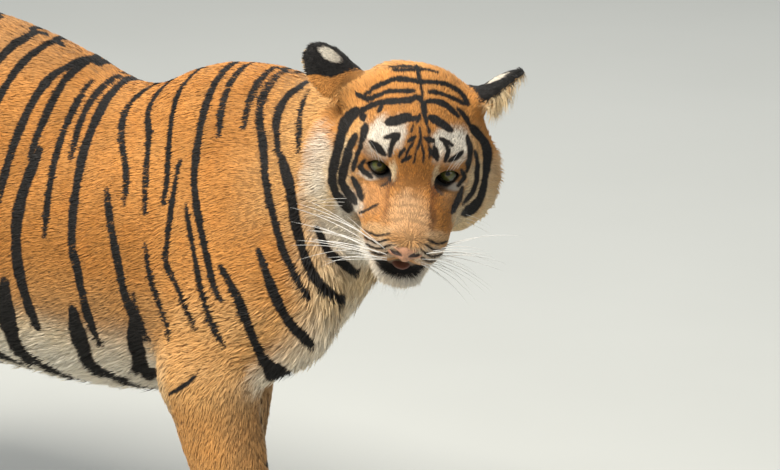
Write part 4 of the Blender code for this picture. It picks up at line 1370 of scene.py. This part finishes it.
def nose_leather():
    nose, nostrils = Form(), Form()
    nose.add(ball((0, -0.1085, -0.0775), (0.0245, 0.0225, 0.0155)), 0.003)
    for s in (RIGHT, LEFT):
        nose.add(ball((0.0160 * s, -0.1110, -0.0800), (0.0130, 0.0165, 0.0120)), 0.006)
        slit = [(0.0085 * s, -0.1330, -0.0835, 0.0042, 0.0036),
                (0.0150 * s, -0.1290, -0.0815, 0.0060, 0.0042),
                (0.0240 * s, -0.1200, -0.0750, 0.0036, 0.0026),
                (0.0290 * s, -0.1110, -0.0660, 0.0024, 0.0020)]
        nostrils.add(limb(slit, 8), 0.002)
    nose.add(ball((0, -0.1200, -0.0860), (0.0100, 0.0110, 0.0110)), 0.006)
    low, high = np.array((-0.04, -0.14, -0.10)), np.array((0.04, -0.10, -0.05))
    nose.cut((nostrils.distance, low, high), 0.003)
    groove = [(0, -0.1345, -0.0780, 0.0009, 0.0020), (0, -0.1330, -0.0900, 0.0014, 0.0030),
              (0, -0.1260, -0.1010, 0.0014, 0.0030)]
    nose.cut(limb(groove, 5), 0.003)
    leather = leather_material("nose_leather", (0.50, 0.25, 0.14), (0.05, 0.030, 0.024),
                               120.0, 0.42)
    # painted shade: the nostrils' hollows are painted dark, out to 0.8 mm round them
    field_piece("nose_leather", nose, (-0.034, -0.140, -0.106), (0.034, -0.084, -0.048), 0.0011,
                leather, "nose", lambda p: nostrils.distance(p) - 0.0008)


def tongue_surface():
    tongue = Form()
    tongue.add(ball((0, -0.056, -0.1258), (0.0165, 0.0330, 0.0048)), 0.003)
    groove = [(0, -0.105, -0.1185, 0.0015, 0.0012), (0, -0.040, -0.1180, 0.0015, 0.0012)]
    tongue.cut(limb(groove, 3), 0.003)
    pink = leather_material("tongue_skin", (0.20, 0.090, 0.065), (0.12, 0.055, 0.04), 160.0, 0.45)
    field_piece("tongue_surface", tongue, (-0.028, -0.106, -0.134), (0.028, -0.024, -0.116), 0.0013,
                pink, "tongue")


def hairs(name, paths, thick, material, around=4):
    """Tapered round hairs along paths of as many points each, joined in one mesh."""
    steps = paths.shape[1]
    t = np.linspace(0, 1, steps)
    way = units(np.gradient(paths, axis=1).reshape(-1, 3)).reshape(paths.shape)
    side = np.cross(way, (0.3, 0.2, 1.0))
    side /= np.linalg.norm(side, axis=2)[..., None]
    other = np.cross(way, side)
    turn = np.arange(around) * 2 * math.pi / around
    size = 0.5 * thick[:, None, None, None] * ((1 - t) ** 0.7 * 0.93 + 0.07)[None, :, None, None]
    ring = np.cos(turn)[:, None] * side[:, :, None] + np.sin(turn)[:, None] * other[:, :, None]
    points = (paths[:, :, None] + size * ring).reshape(-1, 3)
    faces = []
    for i in range(steps - 1):
        a, b = i * around, (i + 1) * around
        for k in range(around):
            n = (k + 1) % around
            faces.append((a + k, a + n, b + n, b + k))
    last = (steps - 1) * around
    faces += [range(around - 1, -1, -1), range(last, last + around)]
    flat = np.concatenate(faces)
    hair = np.arange(len(paths))[:, None]
    me = new_mesh(name, points, (hair * steps * around + flat).ravel(),
                  (hair * len(flat) + starts_of(faces)).ravel())
    strand = np.ones((len(points), 4))
    strand[:, 0] = np.tile(np.repeat(t, around), len(paths))
    paint(me, "strand", strand)
    new_piece(name, me, material)


WHISKERS_IN_ROW = (5, 6, 6, 5)        # from the top row down
FINE_HAIR = 0.0006                    # thickness of the hairs over the eyes, on the cheeks and chin


def whiskers():
    r = np.random.default_rng(77)
    found = []

    def hair(root, way, long, thick=FINE_HAIR):
        found.append((*root, *unit(way), long, thick))
    for s in (RIGHT, LEFT):
        for row, many in enumerate(WHISKERS_IN_ROW):
            rise = 0.42 - 0.20 * row if s == RIGHT else 0.28 - 0.25 * row
            for i in range(many):
                back = i / (many - 1)
                hair((s * (0.030 + 0.030 * back + r.normal(0, 0.001)), -0.112 + 0.040 * back,
                      -0.076 - 0.0105 * row - 0.004 * back),
                     (s * 1.0, 0.25 + 0.30 * back + r.normal(0, 0.08), rise + r.normal(0, 0.08)),
                     (0.080 + 0.050 * back) * r.uniform(0.75, 1.15), r.uniform(0.0010, 0.0016))
        for i in range(4):                # over the eye
            hair((s * (0.045 + 0.006 * i), -0.008 + 0.002 * i, 0.026),
                 (s * 0.35, -0.25, 1.0 + r.normal(0, 0.15)), r.uniform(0.035, 0.060))
        for i in range(3):                # on the cheek
            hair((s * 0.094, 0.030 + 0.008 * i, -0.066 - 0.006 * i),
                 (s * 1.0, 0.1, -0.15 + r.normal(0, 0.1)), r.uniform(0.040, 0.060))
    for _ in range(16):                   # under the chin
        hair((r.uniform(-0.028, 0.028), r.uniform(-0.085, -0.055), -0.160),
             (r.normal(0, 0.35), -0.35 + r.normal(0, 0.15), -1.0), r.uniform(0.015, 0.034))
    found = np.array(found)
    ways, longs = found[:, 3:6] @ HEAD_AXES.T, found[:, 6]
    roots = settled(from_head(found[:, :3])) - ways * 0.004
    count = len(found)
    droop = np.stack([r.normal(0, 0.04, count), 0.10 + r.normal(0, 0.05, count),
                      -0.16 + r.normal(0, 0.07, count)], -1)
    t = np.linspace(0, 1, 9)[:, None]
    bent = ways[:, None] * t + droop[:, None] * t ** 2
    white = fibre_material("whisker", (0.80, 0.76, 0.70), (0.92, 0.90, 0.86), 0.35)
    hairs("whiskers", roots[:, None] + longs[:, None, None] * bent, found[:, 7], white)


def claws():
    horn = fibre_material("claw_horn", (0.16, 0.12, 0.09), (0.55, 0.47, 0.38), 0.30)
    paths = []
    t = np.linspace(0, 1, 8)[:, None]
    for tip, ahead in TOES:
        root = tip + ahead * 0.0125 + (0, 0, 0.004)
        paths.append(root + ahead * 0.0125 * np.sin(t * 1.3) - np.array((0, 0, 0.012)) * t ** 1.6)
    hairs("claws", np.array(paths), np.full(len(paths), 0.0050), horn, 10)


nose_leather()
tongue_surface()
whiskers()
claws()


# ---- eyes ----
IRIS_ANGLE = 41.0                     # degrees from the gaze to the iris's edge
GAZE = unit((0.0, -0.93, 0.37))       # in the head's frame
EYE_RINGS, EYE_AROUND = 40, 48
CORNEA = 0.0012                       # how far it stands out of the ball
EYE_GAP = 0.0004                      # between the ball and its lids' inside


def eyeball(side, material):
    """A ball of rings round its gaze, with a low cornea over the iris."""
    outward = unit(np.cross((0, 0, 1), GAZE))
    upward = np.cross(GAZE, outward)
    theta = np.linspace(0, math.pi, EYE_RINGS + 1)[1:-1]
    phi = np.arange(EYE_AROUND) * 2 * math.pi / EYE_AROUND
    points, iris = [GAZE * (EYE_RADIUS + 0.0008)], [(0, 0, 0, 0)]
    for t, bulge in zip(theta, CORNEA * fade(np.degrees(theta), 10, 42)):
        for f in phi:
            out = np.cos(t) * GAZE + np.sin(t) * (np.cos(f) * outward + np.sin(f) * upward)
            points.append(out * (EYE_RADIUS - EYE_GAP + bulge))
            iris.append((math.cos(f) * 0.5 + 0.5, math.sin(f) * 0.5 + 0.5, 0,
                         math.degrees(t) / IRIS_ANGLE))
    points.append(-GAZE * (EYE_RADIUS - EYE_GAP))
    iris.append((0, 0, 0, 5))
    around = [(k, (k + 1) % EYE_AROUND) for k in range(EYE_AROUND)]
    last = len(points) - 1
    faces = [(0, 1 + k, 1 + n) for k, n in around]
    for a in range(1, last - EYE_AROUND, EYE_AROUND):
        b = a + EYE_AROUND
        faces += [(a + k, b + k, b + n, a + n) for k, n in around]
    faces += [(last - EYE_AROUND + k, last, last - EYE_AROUND + n) for k, n in around]
    word = "right" if side == RIGHT else "left"
    me = new_mesh("eyeball_" + word, from_head(np.array(points) + eye_centre(side)),
                  np.concatenate(faces), starts_of(faces))
    paint(me, "iris", iris)
    ob = new_piece("eyeball_" + word, me, material)
    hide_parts("eye_" + word)


# ---- camera, light and floor ----
VIEW_TURN, VIEW_RISE = -62.0, 15.0    # degrees
VIEW_FAR = 8.0                        # metres from the point between the eyes
VIEW_SCALE, EYES_AT = 642.0, (413.0, 172.0)    # pixels per metre there, and where they show
WIDE, HIGH = 780.0, 470.0
LAMPS = [  # name, turn and rise in degrees, how far, size in metres, power, colour
    ("key", -104, 56, 5.0, 1.8, 425, (1.0, 0.95, 0.87)),
    ("fill", -15, 25, 6.0, 4.0, 52, (0.93, 0.97, 1.0)),
    ("back", 110, 45, 6.0, 3.0, 160, (1.0, 0.98, 0.95)),
]
LIT_POINT = (0, -0.4, 0.6)
SKY, SKY_LIGHT = (0.86, 0.93, 1.0, 1), 0.32
FLOOR_HALF = 30


def from_turn(turn, rise):
    """The unit direction at those degrees round the tiger and up."""
    a, e = math.radians(turn), math.radians(rise)
    return Vector((math.sin(a) * math.cos(e), -math.cos(a) * math.cos(e), math.sin(e)))


def put_in_scene(name, data, at, turn):
    ob = bpy.data.objects.new(name, data)
    ob.location = at
    ob.rotation_mode = "QUATERNION"
    ob.rotation_quaternion = turn
    bpy.context.scene.collection.objects.link(ob)
    return ob


def place_camera():
    a = math.radians(VIEW_TURN)
    back, right = from_turn(VIEW_TURN, VIEW_RISE), Vector((math.cos(a), math.sin(a), 0))
    up = back.cross(right)
    lens = bpy.data.cameras.new("camera")
    lens.sensor_width = 36.0
    lens.lens = VIEW_SCALE * VIEW_FAR * lens.sensor_width / WIDE
    lens.clip_end = 100.0
    eyes = Vector(HEAD_POINT) - Vector(MIDDLE)
    aside, above = (EYES_AT[0] - WIDE / 2) / VIEW_SCALE, (HIGH / 2 - EYES_AT[1]) / VIEW_SCALE
    bpy.context.scene.camera = put_in_scene(
        "camera", lens, eyes + back * VIEW_FAR - right * aside - up * above,
        Matrix((right, up, back)).transposed().to_quaternion())


def light_it():
    for name, turn, rise, far, size, power, colour in LAMPS:
        lamp = bpy.data.lights.new(name, "AREA")
        lamp.size, lamp.energy, lamp.color = size, power, colour
        out = from_turn(turn, rise)
        put_in_scene(name, lamp, Vector(LIT_POINT) + out * far, out.to_track_quat("Z", "Y"))
    world = bpy.data.worlds.new("studio")
    world.use_nodes = True
    sky = world.node_tree.nodes["Background"].inputs
    sky[0].default_value, sky[1].default_value = SKY, SKY_LIGHT
    bpy.context.scene.world = world
    bpy.context.scene.view_settings.view_transform = "Standard"


def lay_floor():
    me = bpy.data.meshes.new("floor")
    corners = [(x * FLOOR_HALF, y * FLOOR_HALF, 0) for x, y in ((-1, -1), (1, -1), (1, 1), (-1, 1))]
    me.from_pydata(corners, [], [(0, 1, 2, 3)])
    n = Nodes("floor", Roughness=0.9)
    n.set("Base Color", n.mix(n.noise(1.5, 3.0), (0.50, 0.51, 0.48), (0.54, 0.55, 0.52)))
    me.materials.append(n.material)
    floor = bpy.data.objects.new("floor", me)
    bpy.context.scene.collection.objects.link(floor)


eyes_shine = eye_material()
for side in (RIGHT, LEFT):
    eyeball(side, eyes_shine)
place_camera()
light_it()
lay_floor()
